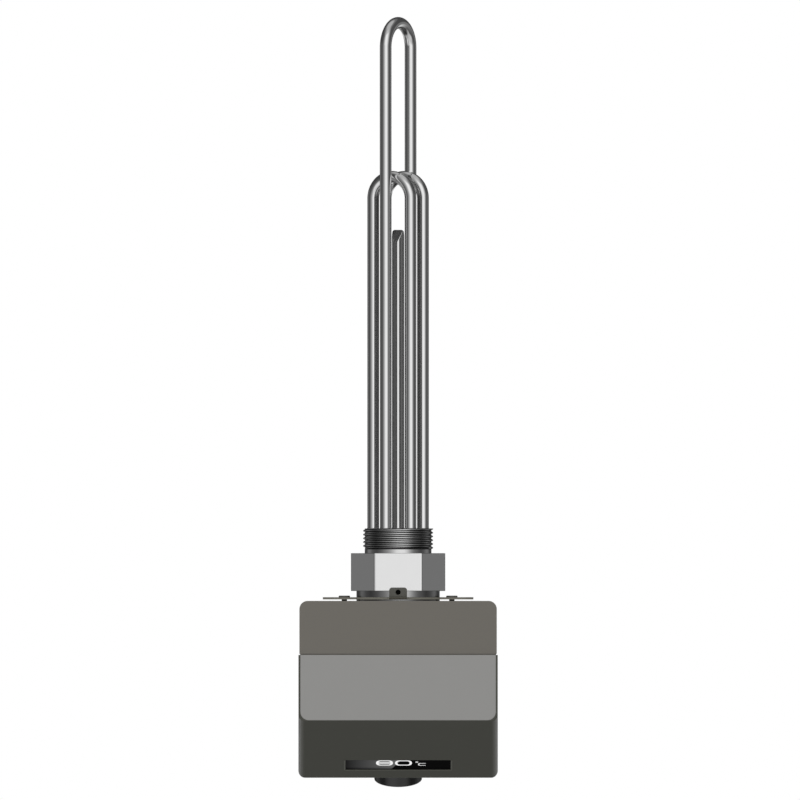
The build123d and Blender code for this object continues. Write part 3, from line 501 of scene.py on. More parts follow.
# %% Stack rings of points
def flat_sided(flat, corner_round):
    """The radius of a hexagon with two corners on X, from its flats and its rounded corners."""
    round_centre = (flat - corner_round) / math.cos(TURN / 12)
    round_start = math.atan(round_centre * math.sin(TURN / 12) / flat)

    def radius(angle):
        from_flat = abs(angle % (TURN / 6) - TURN / 12)
        if from_flat <= round_start:
            return flat / math.cos(from_flat)
        from_corner = TURN / 12 - from_flat
        across = round_centre * math.sin(from_corner)
        return round_centre * math.cos(from_corner) + math.sqrt(corner_round**2 - across**2)

    return radius


def level_ring(z, radius, columns):
    """A ring of points at one height. Radius is a number or a rule for each direction."""
    ring = []
    for column in range(columns):
        angle = TURN * column / columns
        reach = radius(angle) if callable(radius) else radius
        ring.append(Vector((reach * math.cos(angle), reach * math.sin(angle), z)))
    return ring


class Stack:
    """Points and faces of a piece that is made of rings."""

    def __init__(self):
        self.points = []
        self.faces = []

    def strip(self, rings, closed=True):
        """Joins each ring with the next one, all the way round if it is closed."""
        start = len(self.points)
        width = len(rings[0])
        for ring in range(len(rings) - 1):
            for column in range(width if closed else width - 1):
                after = (column + 1) % width
                here, there = start + ring * width, start + (ring + 1) * width
                self.faces.append((here + column, here + after, there + after, there + column))
        self.points += [point for ring in rings for point in ring]
        return start

    def lid(self, start, width):
        self.faces.append(tuple(range(start, start + width)))

    def turned(self, levels, place, columns):
        """A closed form from levels, each a height and a radius, set at a place."""
        rings = [[place @ point for point in level_ring(*level, columns)] for level in levels]
        start = self.strip(rings)
        self.lid(start, columns)
        self.lid(len(self.points) - columns, columns)

    def mesh(self, name):
        made = bpy.data.meshes.new(name)
        made.from_pydata(self.points, [], self.faces)
        finish_mesh(made)
        return made


# %% [markdown]
# ## The heating elements
#
# Each element is one steel tube: up one leg, round a half circle and down the other leg.
# A curve with a bevel would do, but a mesh that we fill ring by ring can also store the
# straight form that the scratches follow. The rings are close together in the bend only,
# because a straight leg needs none in between.

# %% Sweep a ring of points along a hairpin
SIDES = 72
BEND_STEPS = 84


def leg_foot(place, z):
    """A point on the leg circle. Place counts sixths of a turn from the X axis."""
    angle = place * TURN / 6
    return Vector((leg_circle * math.cos(angle), leg_circle * math.sin(angle), z))


def hairpin_stations(foot_a, foot_b, top):
    """Points along the tube's middle, each with its direction and the length so far."""
    across = (foot_b - foot_a) / 2
    bend = across.length
    side = across.normalized()
    up = Vector((0, 0, 1))
    bend_z = top - tube_radius - bend
    centre = Vector((*((foot_a + foot_b) / 2).xy, bend_z))
    leg = bend_z - foot_a.z
    stations = [(foot_a, up, 0.0)]
    for step in range(BEND_STEPS + 1):
        angle = math.pi * step / BEND_STEPS
        point = centre - side * bend * math.cos(angle) + up * bend * math.sin(angle)
        direction = side * math.sin(angle) + up * math.cos(angle)
        stations.append((point, direction, leg + bend * angle))
    stations.append((foot_b, -up, 2 * leg + bend * math.pi))
    return stations, side.cross(up)


def hairpin_mesh(name, place_a, place_b, node):
    low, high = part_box(node)
    foot_a, foot_b = leg_foot(place_a, low.z), leg_foot(place_b, low.z)
    stations, steady = hairpin_stations(foot_a, foot_b, high.z)
    rings, straight = [], []
    for point, direction, length in stations:
        other = direction.cross(steady)
        ring = []
        for number in range(SIDES):
            turn = TURN * number / SIDES
            cos, sin = math.cos(turn) * tube_radius, math.sin(turn) * tube_radius
            ring.append(point + steady * cos + other * sin)
            straight += (cos, sin, length)
        rings.append(ring)
    stack = Stack()
    stack.strip(rings)
    stack.lid(0, SIDES)
    stack.lid(len(stack.points) - SIDES, SIDES)
    mesh = bpy.data.meshes.new(name)
    mesh.from_pydata(stack.points, [], stack.faces)
    stored = mesh.attributes.new(STRAIGHT_FORM, "FLOAT_VECTOR", "POINT")
    stored.data.foreach_set("vector", straight)
    finish_mesh(mesh)
    return mesh


# %% Make the three elements
ELEMENT_LEGS = {"long": (4, 1), "left": (5, 3), "right": (0, 2)}

for side, legs in ELEMENT_LEGS.items():
    node = "heating_element_" + side
    mesh = hairpin_mesh("element_tube_" + side, *legs, node)
    add_piece(mesh.name, mesh, "root", [element_steel], [node])

# %% [markdown]
# ## The sensor pocket
#
# The pocket is a tube whose tip is pressed flat, a little turned to the left. Each of its
# rings reaches out to the tube's wall or to one of the two slopes, whichever comes first.
# The change from one to the other is rounded, and that rounded fold is what catches the
# light as a bright line in the photograph. Most points of a ring lie near the folds.

# %% Press the pocket's tip flat
POCKET_COLUMNS = 240
CROWDING = 0.42
PINCH_LENGTH = 8.1 * MM
PINCH_EDGE = 0.85 * MM
PINCH_TURN = math.radians(-35)
TIP_CORNER = 1.6 * MM
FOLD_ROUND = 0.6 * MM
LEAST_SHARE = 0.001
PINCH_STEP = 0.3 * MM
PINCH_RINGS = 32

pocket_low, pocket_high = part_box("sensor_pocket")


def rounded_least(first, second):
    """The smaller of two reaches, with a rounded change from one to the other."""
    overlap = max(0.0, 1 - abs(first - second) / FOLD_ROUND)
    return min(first, second) - FOLD_ROUND * overlap**2 / 4


def pocket_ring(down):
    """The pocket's outline at one distance below its tip."""
    slope = (pocket_radius - PINCH_EDGE / 2) / PINCH_LENGTH
    thickness = PINCH_EDGE / 2 + slope * down
    corner = max(0.0, TIP_CORNER - down)
    width = pocket_radius - TIP_CORNER + math.sqrt(TIP_CORNER**2 - corner**2)
    ring = []
    for column in range(POCKET_COLUMNS):
        turn = TURN * column / POCKET_COLUMNS
        angle = turn - CROWDING * math.sin(2 * turn)
        side = width / max(abs(math.cos(angle)), LEAST_SHARE)
        flat = thickness / max(abs(math.sin(angle)), LEAST_SHARE)
        reach = rounded_least(min(pocket_radius, side), flat)
        angle += PINCH_TURN
        ring.append(Vector((reach * math.cos(angle), reach * math.sin(angle), pocket_high.z - down)))
    return ring


# %% Make the pocket
pocket_rings = [pocket_ring(pocket_high.z - pocket_low.z)]
pocket_rings += [pocket_ring(PINCH_STEP * number) for number in reversed(range(PINCH_RINGS))]
pocket = Stack()
pocket.lid(pocket.strip(pocket_rings), POCKET_COLUMNS)
pocket.lid(len(pocket.points) - POCKET_COLUMNS, POCKET_COLUMNS)
add_piece(
    "pinched_pocket", pocket.mesh("pinched_pocket"), "root",
    [pocket_steel], ["sensor_pocket"],
)

# %% [markdown]
# ## The screw plug
#
# The plug is one bar, so it is one mesh. The thread needs more care than the rest, because
# on level rings a helix breaks up into steps. Its rings climb by one pitch in a turn, so
# crests and roots run along them exactly. A pipe thread has straight flanks with a small
# flat at the crest and at the root, so four rings for each pitch are enough. Where a ring
# would pass the end of the thread, it stays level there, with the radius that the thread
# has at that height and direction.

# %% The thread
COLUMNS = 360
PITCH = 2.57 * MM
THREAD_DEPTH = 1.25 * MM
CREST_FLAT = 0.1
ROOT_FLAT = 0.07
FIRST_CREST = 1.1 * MM
THREAD_FADE = 0.3

root_radius = thread_radius - THREAD_DEPTH


def thread_reach(angle, z):
    """The thread's radius in one direction at one height."""
    turns = (z - thread_low - FIRST_CREST) / PITCH - angle / TURN
    from_crest = abs((turns + 0.5) % 1 - 0.5)
    rise = (0.5 - ROOT_FLAT - from_crest) / (0.5 - ROOT_FLAT - CREST_FLAT)
    rise = min(1.0, max(0.0, rise))
    run_in = min(1.0, (z - thread_low) / (THREAD_FADE * PITCH))
    return root_radius + THREAD_DEPTH * rise * run_in


def helix_rings():
    """Rings along the crests and roots, level where they would pass the thread's ends."""
    rings = []
    last = math.ceil(thread_length / PITCH) + 1
    for crest in range(-1, last + 1):
        for share in (-0.5 + ROOT_FLAT, -CREST_FLAT, CREST_FLAT, 0.5 - ROOT_FLAT):
            ring = []
            for column in range(COLUMNS + 1):
                angle = TURN * column / COLUMNS
                climb = thread_low + FIRST_CREST + (crest - 1 + share + column / COLUMNS) * PITCH
                z = min(max(climb, thread_low), thread_top)
                reach = thread_reach(angle, z)
                ring.append(Vector((reach * math.cos(angle), reach * math.sin(angle), z)))
            rings.append(ring)
    return rings


print(f"thread of {thread_length / PITCH:.1f} turns")

# %% [markdown]
# Below the hexagon a round collar presses the mounting plate down, and a hollow spigot
# goes on into the box. The step heights are read from the plate and the housing, which
# fit the plug in the construction model. Each face then gets the finish of its own part:
# the hexagon's sides are milled, and the thread's flanks and the collar are darker with
# painted shade.

# %% Build the plug
COLLAR_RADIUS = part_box("plate_seal")[1].x
NECK_RADIUS = thread_radius - 1.1 * MM
HEX_HEIGHT = 25.8 * MM
HEX_CORNER_ROUND = 0.9 * MM
EDGE_BREAK = 0.25 * MM
SHEET_DEPTH = 3.0 * MM
SPIGOT_WALL = 3.4 * MM
COLLAR_STEP = 3.45 * MM
SCREW_HEAD_HEIGHT = 1.1 * MM

plug_low, plug_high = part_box("screw_plug")
hex_flat = plug_high.x * math.cos(TURN / 12)
plate_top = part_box("plate_screws")[1].z - SCREW_HEAD_HEIGHT
spigot_radius = COLLAR_RADIUS - COLLAR_STEP
cavity_radius = spigot_radius - SPIGOT_WALL
full_hexagon = flat_sided(hex_flat, HEX_CORNER_ROUND)
broken_hexagon = flat_sided(hex_flat - EDGE_BREAK, HEX_CORNER_ROUND)

plug_levels = [
    (thread_low, root_radius),
    (thread_low, NECK_RADIUS),
    (0, NECK_RADIUS),
    (0, broken_hexagon),
    (-EDGE_BREAK, full_hexagon),
    (-HEX_HEIGHT + EDGE_BREAK, full_hexagon),
    (-HEX_HEIGHT, broken_hexagon),
    (-HEX_HEIGHT, COLLAR_RADIUS),
    (plate_top, COLLAR_RADIUS),
    (plate_top, spigot_radius),
    (plug_low.z, spigot_radius),
    (plug_low.z, cavity_radius),
    (-SHEET_DEPTH, cavity_radius),
]
plug_stack = Stack()
thread_rings = helix_rings()
plug_stack.strip(thread_rings, closed=False)
plug_stack.strip([level_ring(*level, COLUMNS) for level in plug_levels])
plug_stack.lid(len(plug_stack.points) - COLUMNS, COLUMNS)
end_ring = [Vector((*point.xy, thread_top)) for point in thread_rings[-1][:COLUMNS]]
inner_ring = level_ring(thread_top, root_radius, COLUMNS)
plug_stack.strip([end_ring, inner_ring])
plug_stack.lid(len(plug_stack.points) - COLUMNS, COLUMNS)
plug_mesh = plug_stack.mesh("threaded_plug")
print(f"hexagon {2 * hex_flat / MM:.1f} mm across its flats")

# %% Give each face of the plug its finish
UPRIGHT_BELOW = 0.5
CREST_BELOW = 0.4
LEVEL_FROM = 0.99


def plug_finish(centre, normal):
    """The finish of a face of the plug, from where it lies and where it looks."""
    if centre.z < -HEX_HEIGHT:
        return collar_steel
    if centre.z < 0 and abs(normal.z) < UPRIGHT_BELOW:
        return flat_steel
    if centre.z > thread_low and abs(normal.z) < LEVEL_FROM:
        return thread_steel if abs(normal.z) < CREST_BELOW else thread_flank
    return plug_steel


plug_finishes = [plug_steel, flat_steel, thread_steel, thread_flank, collar_steel]
add_piece("threaded_plug", plug_mesh, "root", plug_finishes, ["screw_plug"])
for face in plug_mesh.polygons:
    face.material_index = plug_finishes.index(plug_finish(face.center, face.normal))

# %% [markdown]
# The legs and the pocket are brazed into the plug, and the silvery braze runs up each of
# them in a small hollow fillet. It is half a millimetre high and only shows from close by,
# but without it the tubes seem to be pushed through holes. One profile, turned about each
# tube's own axis, makes all seven.

# %% Braze round the tubes
BRAZE_RISE = 0.5 * MM
BRAZE_STEPS = 6
BRAZE_COLUMNS = 48


def braze_levels(radius):
    """A hollow fillet from the plug's end face up to a tube's wall."""
    levels = [(thread_top - BRAZE_RISE, radius), (thread_top - BRAZE_RISE, radius + BRAZE_RISE)]
    for step in range(BRAZE_STEPS + 1):
        angle = TURN / 4 * step / BRAZE_STEPS
        levels.append(
            (thread_top + BRAZE_RISE * (1 - math.cos(angle)), radius + BRAZE_RISE * (1 - math.sin(angle)))
        )
    return levels


braze = Stack()
for place in range(6):
    at_leg = Matrix.Translation(leg_foot(place, 0))
    braze.turned(braze_levels(tube_radius), at_leg, BRAZE_COLUMNS)
braze.turned(braze_levels(pocket_radius), Matrix.Identity(4), BRAZE_COLUMNS)
add_piece("braze_fillets", braze.mesh("braze_fillets"), "root", [thread_steel])

# %% [markdown]
# ## The screws
#
# The two plate screws have flat round heads with a cross recess, and the four screws in
# the housing's rear have deep round heads with a hexagon socket. The recess starts where
# the head's top ends: two rings at one height, the outer one round and the inner one with
# the recess's outline, then the same outline again, smaller and deeper.

# %% Outlines of the two recesses
SCREW_COLUMNS = 120
HEAD_STEPS = 4


def cross_arms(half_width, reach):
    """The radius of a cross with four straight arms."""

    def radius(angle):
        from_arm = abs((angle + TURN / 8) % (TURN / 4) - TURN / 8)
        side = half_width / max(math.sin(from_arm), LEAST_SHARE)
        return min(reach / math.cos(from_arm), side)

    return radius


def screw_head(seat, height, radius, edge, recess, recess_depth):
    """Levels of a head from its seat up, with a rounded edge and a recess in its top."""
    top = seat + height
    levels = [(seat, radius)]
    for step in range(HEAD_STEPS + 1):
        angle = TURN / 4 * step / HEAD_STEPS
        levels.append((top - edge * (1 - math.sin(angle)), radius - edge * (1 - math.cos(angle))))
    wide, narrow = recess
    return levels + [(top, wide), (top - recess_depth, narrow)]


# %% The two plate screws
plate_screws_low, plate_screws_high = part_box("plate_screws")
PLATE_HEAD_RADIUS = 3.9 * MM
PLATE_SHANK_RADIUS = 1.85 * MM
SHANK_POINT = 0.6 * MM
cross = (cross_arms(0.5 * MM, 2.1 * MM), cross_arms(0.4 * MM, 1.5 * MM))

plate_screws = Stack()
for side in (-1, 1):
    at_screw = Matrix.Translation((side * (plate_screws_high.x - PLATE_HEAD_RADIUS), 0, 0))
    shank = [
        (plate_screws_low.z, PLATE_SHANK_RADIUS - SHANK_POINT),
        (plate_screws_low.z + SHANK_POINT, PLATE_SHANK_RADIUS),
        (plate_top, PLATE_SHANK_RADIUS),
    ]
    head = screw_head(plate_top, SCREW_HEAD_HEIGHT, PLATE_HEAD_RADIUS, 0.6 * MM, cross, 0.7 * MM)
    plate_screws.turned(shank + head, at_screw, SCREW_COLUMNS)
plate_screw_mesh = plate_screws.mesh("plate_screws_recessed")
add_piece(
    "plate_screws_recessed", plate_screw_mesh, "root",
    [dark_fastener, plate_paint], ["plate_screws"],
)
for face in plate_screw_mesh.polygons:
    face.material_index = 1 if face.center.z > plate_top else 0

# %% The four cover screws
cover_screws_low, cover_screws_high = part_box("cover_screws")
COVER_HEAD_RADIUS = 3.3 * MM
COVER_HEAD_HEIGHT = 2.95 * MM
COVER_SHANK_RADIUS = 1.6 * MM
socket = (flat_sided(1.5 * MM, 0.05 * MM), flat_sided(1.45 * MM, 0.05 * MM))

cover_screws = Stack()
cover_seat = cover_screws_high.z - COVER_HEAD_HEIGHT
for side_x in (-1, 1):
    for side_y in (-1, 1):
        x = side_x * (cover_screws_high.x - COVER_HEAD_RADIUS)
        y = side_y * (cover_screws_high.y - COVER_HEAD_RADIUS)
        shank = [
            (cover_screws_low.z, COVER_SHANK_RADIUS - SHANK_POINT),
            (cover_screws_low.z + SHANK_POINT, COVER_SHANK_RADIUS),
            (cover_seat, COVER_SHANK_RADIUS),
        ]
        head = screw_head(cover_seat, COVER_HEAD_HEIGHT, COVER_HEAD_RADIUS, 0.4 * MM, socket, 1.6 * MM)
        cover_screws.turned(shank + head, Matrix.Translation((x, y, 0)), SCREW_COLUMNS)
add_piece(
    "cover_screws_socket", cover_screws.mesh("cover_screws_socket"), "root",
    [zinc], ["cover_screws"],
)

# %% [markdown]
# ## The display
#
# The display lies in a sloping face that looks forwards and down. To draw on it we need
# its own axes: the middle of the glass, the direction out of it and the direction up the
# slope. All three come from the flat face of the model's window that looks most nearly
# that way.

# %% Find the glass
def outer_face(node, towards):
    """The middle, width, height up the slope and direction of a node's outermost flat face."""
    mesh = nodes[node].data
    normal = max(mesh.polygons, key=lambda face: face.normal.dot(towards)).normal.copy()
    level = max(vertex.co.dot(normal) for vertex in mesh.vertices)
    corners = [vertex.co for vertex in mesh.vertices if level - vertex.co.dot(normal) < 0.01 * MM]
    low = Vector([min(corner[axis] for corner in corners) for axis in range(3)])
    high = Vector([max(corner[axis] for corner in corners) for axis in range(3)])
    return (low + high) / 2, high.x - low.x, (high - low).yz.length, normal


FORWARDS_AND_DOWN = Vector((0, -1, -2)).normalized()
glass_face = outer_face("display_window", FORWARDS_AND_DOWN)
glass_middle, glass_width, glass_height, glass_out = glass_face
glass_up = glass_out.cross(Vector((1, 0, 0)))
print(f"glass {glass_width / MM:.1f} by {glass_height / MM:.1f} mm")

# %% [markdown]
# The right half of the glass is black. In the left half a painted reflection grows lighter
# from the end towards the middle, where it stops on a sharp slanted line, and painted shade
# makes it dimmer along the lower side. Both are painted with masks that read the place
# across and up the slope, and they stay put when the camera moves.

# %% The glass with a painted reflection
SHEEN_START = -36 * MM
SHEEN_END = -2 * MM
SHEEN_EDGE = -1.3 * MM
SHEEN_SOFT = 0.3 * MM
SHEEN_SLANT = 0.55
SHEEN_DIM = 29
SHEEN_BRIGHT = 108
GLASS_TONE = 4
LOW_SHADE_START = -3.4 * MM
LOW_SHADE_FULL = -5.4 * MM
LOW_SHADE = 0.38

glass = Finish(bpy.data.materials.new("display_glass"))
from_middle = glass.vector("SUBTRACT", glass.place(), glass_middle)
across = glass.axis(from_middle, "X")
up_slope = glass.vector("DOT_PRODUCT", from_middle, glass_up, "Value")
# Painted reflection: lighter from the left end towards a slanted line, black beyond it.
sheen = glass.between(across, SHEEN_START, SHEEN_END)
slanted = across - up_slope * SHEEN_SLANT
left_of_edge = glass.between(slanted, SHEEN_EDGE + SHEEN_SOFT, SHEEN_EDGE - SHEEN_SOFT)
# Painted shade along the lower side of the glass.
lit = glass.between(up_slope, LOW_SHADE_FULL, LOW_SHADE_START) * (1 - LOW_SHADE) + LOW_SHADE
painted_reflection = glass.mix(sheen, grey(SHEEN_DIM), grey(SHEEN_BRIGHT))
painted_reflection = glass.mix(left_of_edge, grey(GLASS_TONE), painted_reflection)
glass.set(Base_Color=glass.mix(lit, grey(0), painted_reflection), Specular_IOR_Level=0.02)
glass.set(Roughness=0.06 + glass.noise(glass.place(), 4 * MM) * 0.04)
display_glass = glass.owner

digit_light = Finish(bpy.data.materials.new("digit_light"))
glow = digit_light.noise(digit_light.place(), 0.6 * MM, 1)
digit_light.set(Base_Color=grey(30), Roughness=0.5, Emission_Strength=1.0)
digit_light.set(Emission_Color=digit_light.mix(glow, grey(234), grey(243)))
print("display:", display_glass.name, digit_light.owner.name)

# %% [markdown]
# The lit figures and the moulded rim round the glass are all strokes, so one function
# makes them: it sweeps a section along a path in the glass's own plane. A nought is a
# rounded frame, an eight is the same frame with a bar across, and the letter for degrees
# Celsius is the frame with its right side left out. The upright strokes are wider than
# the level ones, and look wider still, because the slope is seen at a flat angle.

# %% Strokes in the plane of the glass
FIGURE_PROUD = 0.05 * MM
FLAT_SECTION = ((1, 0), (1, FIGURE_PROUD), (-1, FIGURE_PROUD), (-1, 0))
CORNER_STEPS = 8
CORNER_POINTS = CORNER_STEPS + 1

glass_axes = Matrix((Vector((1, 0, 0)), glass_up, glass_out)).transposed().to_4x4()
on_glass = Matrix.Translation(glass_middle) @ glass_axes


def rounded_frame(x, y, width, height, corner):
    """The points of a rounded frame about x, y, counter-clockwise from its right side's top."""
    path = []
    for number, (side_x, side_y) in enumerate(((1, 1), (-1, 1), (-1, -1), (1, -1))):
        centre = Vector((x + side_x * (width / 2 - corner), y + side_y * (height / 2 - corner)))
        for step in range(CORNER_POINTS):
            angle = TURN / 4 * (number + step / CORNER_STEPS)
            path.append(centre + corner * Vector((math.cos(angle), math.sin(angle))))
    return path


def stroke(stack, path, upright, level, section=FLAT_SECTION, closed=True):
    """A band along a path on the glass, with one width where it runs upright and one where level."""
    rings = []
    for number, here in enumerate(path):
        before = path[number - 1] if closed or number else here
        after = path[(number + 1) % len(path)] if closed or number < len(path) - 1 else here
        run = (after - before).normalized()
        width = level + (upright - level) * abs(run.y)
        side = Vector((-run.y, run.x)) * width / 2
        rings.append([on_glass @ Vector((*(here + side * share), z)) for share, z in section])
    if closed:
        rings.append(rings[0])
    start = stack.strip(rings)
    if not closed:
        stack.lid(start, len(section))
        stack.lid(len(stack.points) - len(section), len(section))


# %% The figures and the sign for degrees
FIGURE_SIZE = (9.9 * MM, 5.8 * MM)
FIGURE_CORNER = 2.4 * MM
FIGURE_UPRIGHT = 1.6 * MM
FIGURE_LEVEL = 0.95 * MM
FIGURE_RISE = 2.25 * MM
EIGHT_X = -9.3 * MM
NOUGHT_X = 3.7 * MM
EIGHT_BAR = 1.5 * MM

figures = Stack()
for x in (EIGHT_X, NOUGHT_X):
    figure = rounded_frame(x, FIGURE_RISE, *FIGURE_SIZE, FIGURE_CORNER)
    stroke(figures, figure, FIGURE_UPRIGHT, FIGURE_LEVEL)
bar = [Vector((EIGHT_X + side * FIGURE_SIZE[0] / 2, FIGURE_RISE)) for side in (-1, 1)]
stroke(figures, bar, EIGHT_BAR, EIGHT_BAR, closed=False)

DEGREE_PLACE = (12.8 * MM, 3.4 * MM)
DEGREE_SIZE = (1.5 * MM, 1.2 * MM)
CELSIUS_PLACE = (16.95 * MM, 0.35 * MM)
CELSIUS_SIZE = (5.7 * MM, 2.8 * MM)
CELSIUS_CORNER = 1.0 * MM
SIGN_UPRIGHT = 0.75 * MM
SIGN_LEVEL = 0.4 * MM
degree = rounded_frame(*DEGREE_PLACE, *DEGREE_SIZE, DEGREE_SIZE[1] / 2)
stroke(figures, degree, SIGN_LEVEL, SIGN_LEVEL)
celsius = rounded_frame(*CELSIUS_PLACE, *CELSIUS_SIZE, CELSIUS_CORNER)
celsius = celsius[CORNER_POINTS - 1:3 * CORNER_POINTS + 1]
stroke(figures, celsius, SIGN_UPRIGHT, SIGN_LEVEL, closed=False)
add_piece("display_figures", figures.mesh("display_figures"), "root", [digit_light.owner])

# %% [markdown]
# The cover's opening for the glass has a low moulded lip at its lower side and its ends. It
# is under a millimetre wide and as high as two sheets of paper. Its plastic is painted
# lighter than the cover, painted light that draws a fine pale line under the glass. Its
# path is the rounded frame again, without the upper side.

# %% The rim round the glass
GLASS_BELOW_FACE = 0.3 * MM
RIM_GAP = 0.25 * MM
RIM_WIDTH = 0.8 * MM
RIM_PROUD = 0.2 * MM
RIM_CORNER = 0.7 * MM
RIM_SECTION_STEPS = 6

rim_section = []
for step in range(RIM_SECTION_STEPS + 1):
    angle = TURN / 2 * step / RIM_SECTION_STEPS
    rim_section.append((math.cos(angle), GLASS_BELOW_FACE + RIM_PROUD * math.sin(angle)))
rim = Stack()
rim_out = 2 * RIM_GAP + RIM_WIDTH
rim_path = rounded_frame(0, 0, glass_width + rim_out, glass_height + rim_out, RIM_CORNER)
rim_path = rim_path[2 * CORNER_POINTS - 1:] + rim_path[:1]
stroke(rim, rim_path, RIM_WIDTH, RIM_WIDTH, rim_section, closed=False)
add_piece("window_rim", rim.mesh("window_rim"), "root", [rim_plastic])

# %% [markdown]
# ## Dress the pieces that keep their form
#
# Most pieces of the construction model are right as they are and only need a finish. One
# table says which finish goes on which node.

# %% Give every remaining node its finish
DRESS = {
    plate_paint: ["mounting_plate"],
    seal_face: ["plate_seal"],
    rubber: ["housing_seal", "gland_seal"],
    zinc: [
        "sensor_probe", "limiter_bulb", "board_screws", "display_screws", "encoder_nut", "encoder_shaft",
    ],
    housing_paint: ["rear_housing"],
    cover_plastic: ["front_cover"],
    panel_paint: ["top_panel"],
    display_glass: ["display_window"],
    knob_plastic: ["control_knob"],
    ceramic: ["terminal_bushes"],
    brass: ["terminal_pins", "lock_nut"],
    board_green: ["power_board", "display_board", "encoder_board"],
    part_dark: ["display_module", "capacitors", "fuse_holder"],
    part_blue: ["relays"],
    part_yellow: ["transformer"],
    part_grey: ["terminal_block", "encoder_body", "encoder_rotor", "safety_limiter"],
    gland_plastic: ["gland_body", "gland_cap", "gland_lock_nut", "limiter_cap"],
    button_red: ["limiter_button"],
}

for material, names in DRESS.items():
    for name in names:
        nodes[name].data.materials.clear()
        nodes[name].data.materials.append(material)
print("dressed", sum(len(names) for names in DRESS.values()), "nodes")

# %% [markdown]
# ## The studio
#
# Shiny tube shows its surroundings more than its own colour, so on a white background a
# photographer sets up cards for the tube to mirror: a light one beside the camera, dark
# ones at the sides, a middle grey one overhead and another on the ground. Here the cards
# are one large sphere. Each belt of it lists a few directions, counted in degrees from
# the front, with the tone there, and the tone drifts evenly from one to the next. Only
# reflections see the sphere.

# %% Cards round the object
CARD_RADIUS = 12.0
CARD_STEP = 3
OVERHEAD = [(0, 0.55), (180, 0.55)]
GROUND = [(-180, 0.25), (-130, 0.25), (-90, 0.55), (0, 0.6), (90, 0.55), (130, 0.25), (180, 0.25)]
LOW_FRONT = [
    (-180, 0.3), (-165, 0.7), (-140, 0.6), (-110, 0.15), (-80, 0.06), (-58, 0.8), (-25, 0.92),
    (-8, 0.8), (5, 0.62), (28, 0.72), (50, 0.7), (68, 0.1), (110, 0.15), (140, 0.6), (165, 0.7),
    (180, 0.3),
]
UNDER_FRONT = [
    (-180, 0.6), (-165, 1.1), (-145, 1.0), (-110, 0.25), (-80, 0.08), (-60, 0.4), (-40, 0.8),
    (-10, 0.95), (12, 1.0), (30, 0.6), (50, 0.2), (66, 0.08), (80, 0.08), (110, 0.25), (145, 1.0),
    (165, 1.1), (180, 0.6),
]
HORIZON = [
    (-180, 0.1), (-139, 0.06), (-124, 0.22), (-116, 0.22), (-100, 0.11), (-80, 0.07), (-60, 0.14),
    (-41, 0.3), (-26, 0.5), (-12, 0.82), (-4, 1.02), (10, 1.09), (20, 1.08), (30, 0.88), (44, 0.42),
    (56, 0.2), (84, 0.07), (100, 0.11), (116, 0.22), (124, 0.22), (139, 0.06), (180, 0.1),
]
UPPER_FRONT = [
    (-180, 0.06), (-80, 0.07), (-55, 0.16), (-42, 0.28), (-30, 0.5), (-10, 1.03), (10, 1.12),
    (30, 0.93), (42, 0.55), (54, 0.35), (66, 0.1), (180, 0.06),
]
HIGH_FRONT = [(-180, 0.15), (-70, 0.2), (-30, 0.5), (0, 0.72), (30, 0.6), (70, 0.2), (180, 0.15)]
CARD_BELTS = [
    (-90, GROUND), (-56, GROUND), (-46, LOW_FRONT), (-32, LOW_FRONT), (-16, UNDER_FRONT),
    (-8, HORIZON), (8, HORIZON), (13, UPPER_FRONT), (44, UPPER_FRONT), (51, HIGH_FRONT),
    (58, HIGH_FRONT), (70, OVERHEAD), (90, OVERHEAD),
]


def along(stops, place):
    """The tone at a place between listed stops."""
    place = min(max(place, stops[0][0]), stops[-1][0])
    for (left, left_tone), (right, right_tone) in zip(stops, stops[1:]):
        if left <= place <= right:
            return left_tone + (right_tone - left_tone) * (place - left) / (right - left)


def card_tone(azimuth, elevation):
    """The light that a card sends back, from its direction in degrees. Azimuth 0 is the front."""
    return along([(height, along(belt, azimuth)) for height, belt in CARD_BELTS], elevation)


azimuths = range(-180, 181, CARD_STEP)
elevations = range(-90, 91, CARD_STEP)
card_rows, tones = [], []
for elevation in elevations:
    row = []
    for azimuth in azimuths:
        a, e = math.radians(azimuth), math.radians(elevation)
        direction = Vector((math.sin(a) * math.cos(e), -math.cos(a) * math.cos(e), math.sin(e)))
        row.append(CARD_RADIUS * direction)
        tones.append(card_tone(azimuth, elevation))
    card_rows.append(row)
card_stack = Stack()
card_stack.strip(card_rows, closed=False)
card_mesh = bpy.data.meshes.new("cards")
card_mesh.from_pydata(card_stack.points, [], card_stack.faces)
card_tones = card_mesh.attributes.new("tone", "FLOAT", "POINT")
card_tones.data.foreach_set("value", tones)
cards = bpy.data.objects.new("cards", card_mesh)
cards.location.z = (cad_low.z + cad_high.z) / 2
scene.collection.objects.link(cards)
card_finish = Finish(bpy.data.materials.new("card_tone"), "ShaderNodeEmission")
card_finish.set(Color=card_finish.node("ShaderNodeAttribute", {"attribute_name": "tone"}, output="Color"))
card_mesh.materials.append(card_finish.owner)
for ray in ("camera", "diffuse", "transmission", "shadow", "volume_scatter"):
    setattr(cards, "visible_" + ray, False)
print("cards:", len(card_mesh.polygons), "faces")

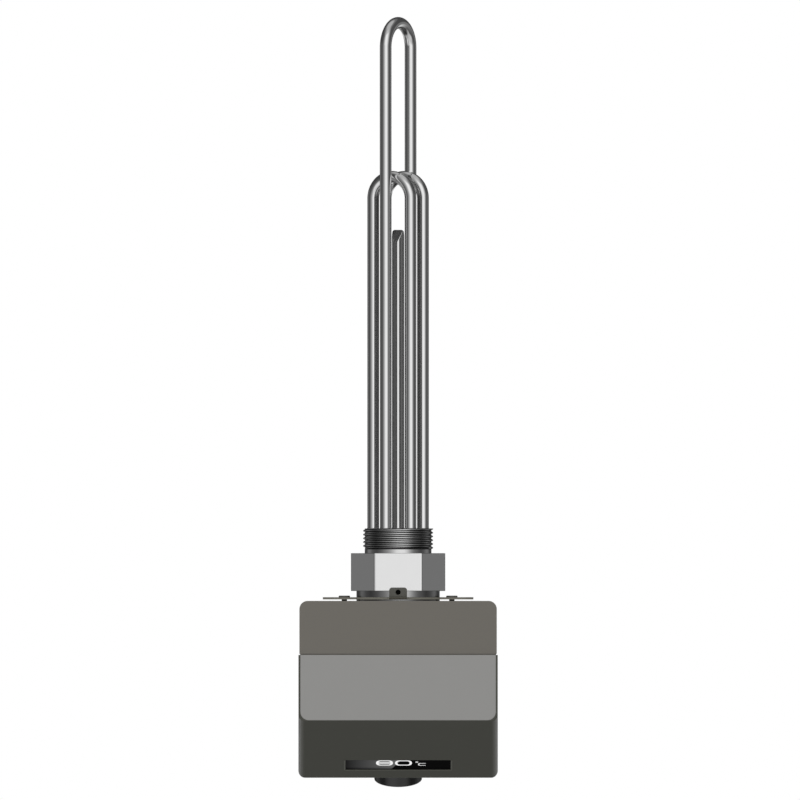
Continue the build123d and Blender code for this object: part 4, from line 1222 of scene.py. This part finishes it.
# %% [markdown]
# The world is white for the camera, for mirrors and for glass, and a little less for the
# light that it gives, which leaves room for two large lamps. One lamp is above and to the
# left of the camera, and a weaker one fills from the right. A pale floor catches a soft
# shadow just under the knob. It doesn't darken the reflections or the undersides, because
# the ground card already stands for it there.

# %% World, lamps and floor
AMBIENT = 0.8
KEY_SHARE = 0.25
FILL_SHARE = 0.05

sky = Finish(bpy.data.worlds.new("studio"), "ShaderNodeBackground", "ShaderNodeOutputWorld")
seen = sky.node("ShaderNodeLightPath", output="Is Camera Ray")
seen += sky.node("ShaderNodeLightPath", output="Is Glossy Ray")
seen += sky.node("ShaderNodeLightPath", output="Is Transmission Ray")
sky.set(Color=(1, 1, 1, 1), Strength=AMBIENT + seen * (1 - AMBIENT))
scene.world = sky.owner


def lamp(name, place, size, share):
    """A square lamp that gives a white face at the origin this share of full light."""
    data = bpy.data.lights.new(name, "AREA")
    data.shape = "SQUARE"
    data.size = size
    where = Vector(place)
    data.energy = share * math.pi**2 * where.length_squared
    made = bpy.data.objects.new(name, data)
    made.location = where
    made.rotation_euler = where.to_track_quat("Z", "Y").to_euler()
    made.visible_glossy = False
    scene.collection.objects.link(made)
    print(f"{name}: {data.energy:.1f} W")


lamp("key_lamp", (-0.9, -1.9, 1.2), 1.4, KEY_SHARE)
lamp("fill_lamp", (1.8, -0.6, 0.6), 1.2, FILL_SHARE)

FLOOR_SIZE = 8.0
FLOOR_GAP = 1 * MM
floor_mesh = bpy.data.meshes.new("floor")
half = FLOOR_SIZE / 2
floor_z = cad_low.z - FLOOR_GAP
floor_corners = [(x * half, y * half, floor_z) for x, y in ((-1, -1), (1, -1), (1, 1), (-1, 1))]
floor_mesh.from_pydata(floor_corners, [], [(0, 1, 2, 3)])
floor = bpy.data.objects.new("floor", floor_mesh)
scene.collection.objects.link(floor)
floor_mesh.materials.append(coated("floor_card", (238, 238, 238), 2 * MM, 0.01 * MM, 0.9, 0.01, gloss=0.0))
for ray in ("diffuse", "glossy"):
    setattr(floor, "visible_" + ray, False)
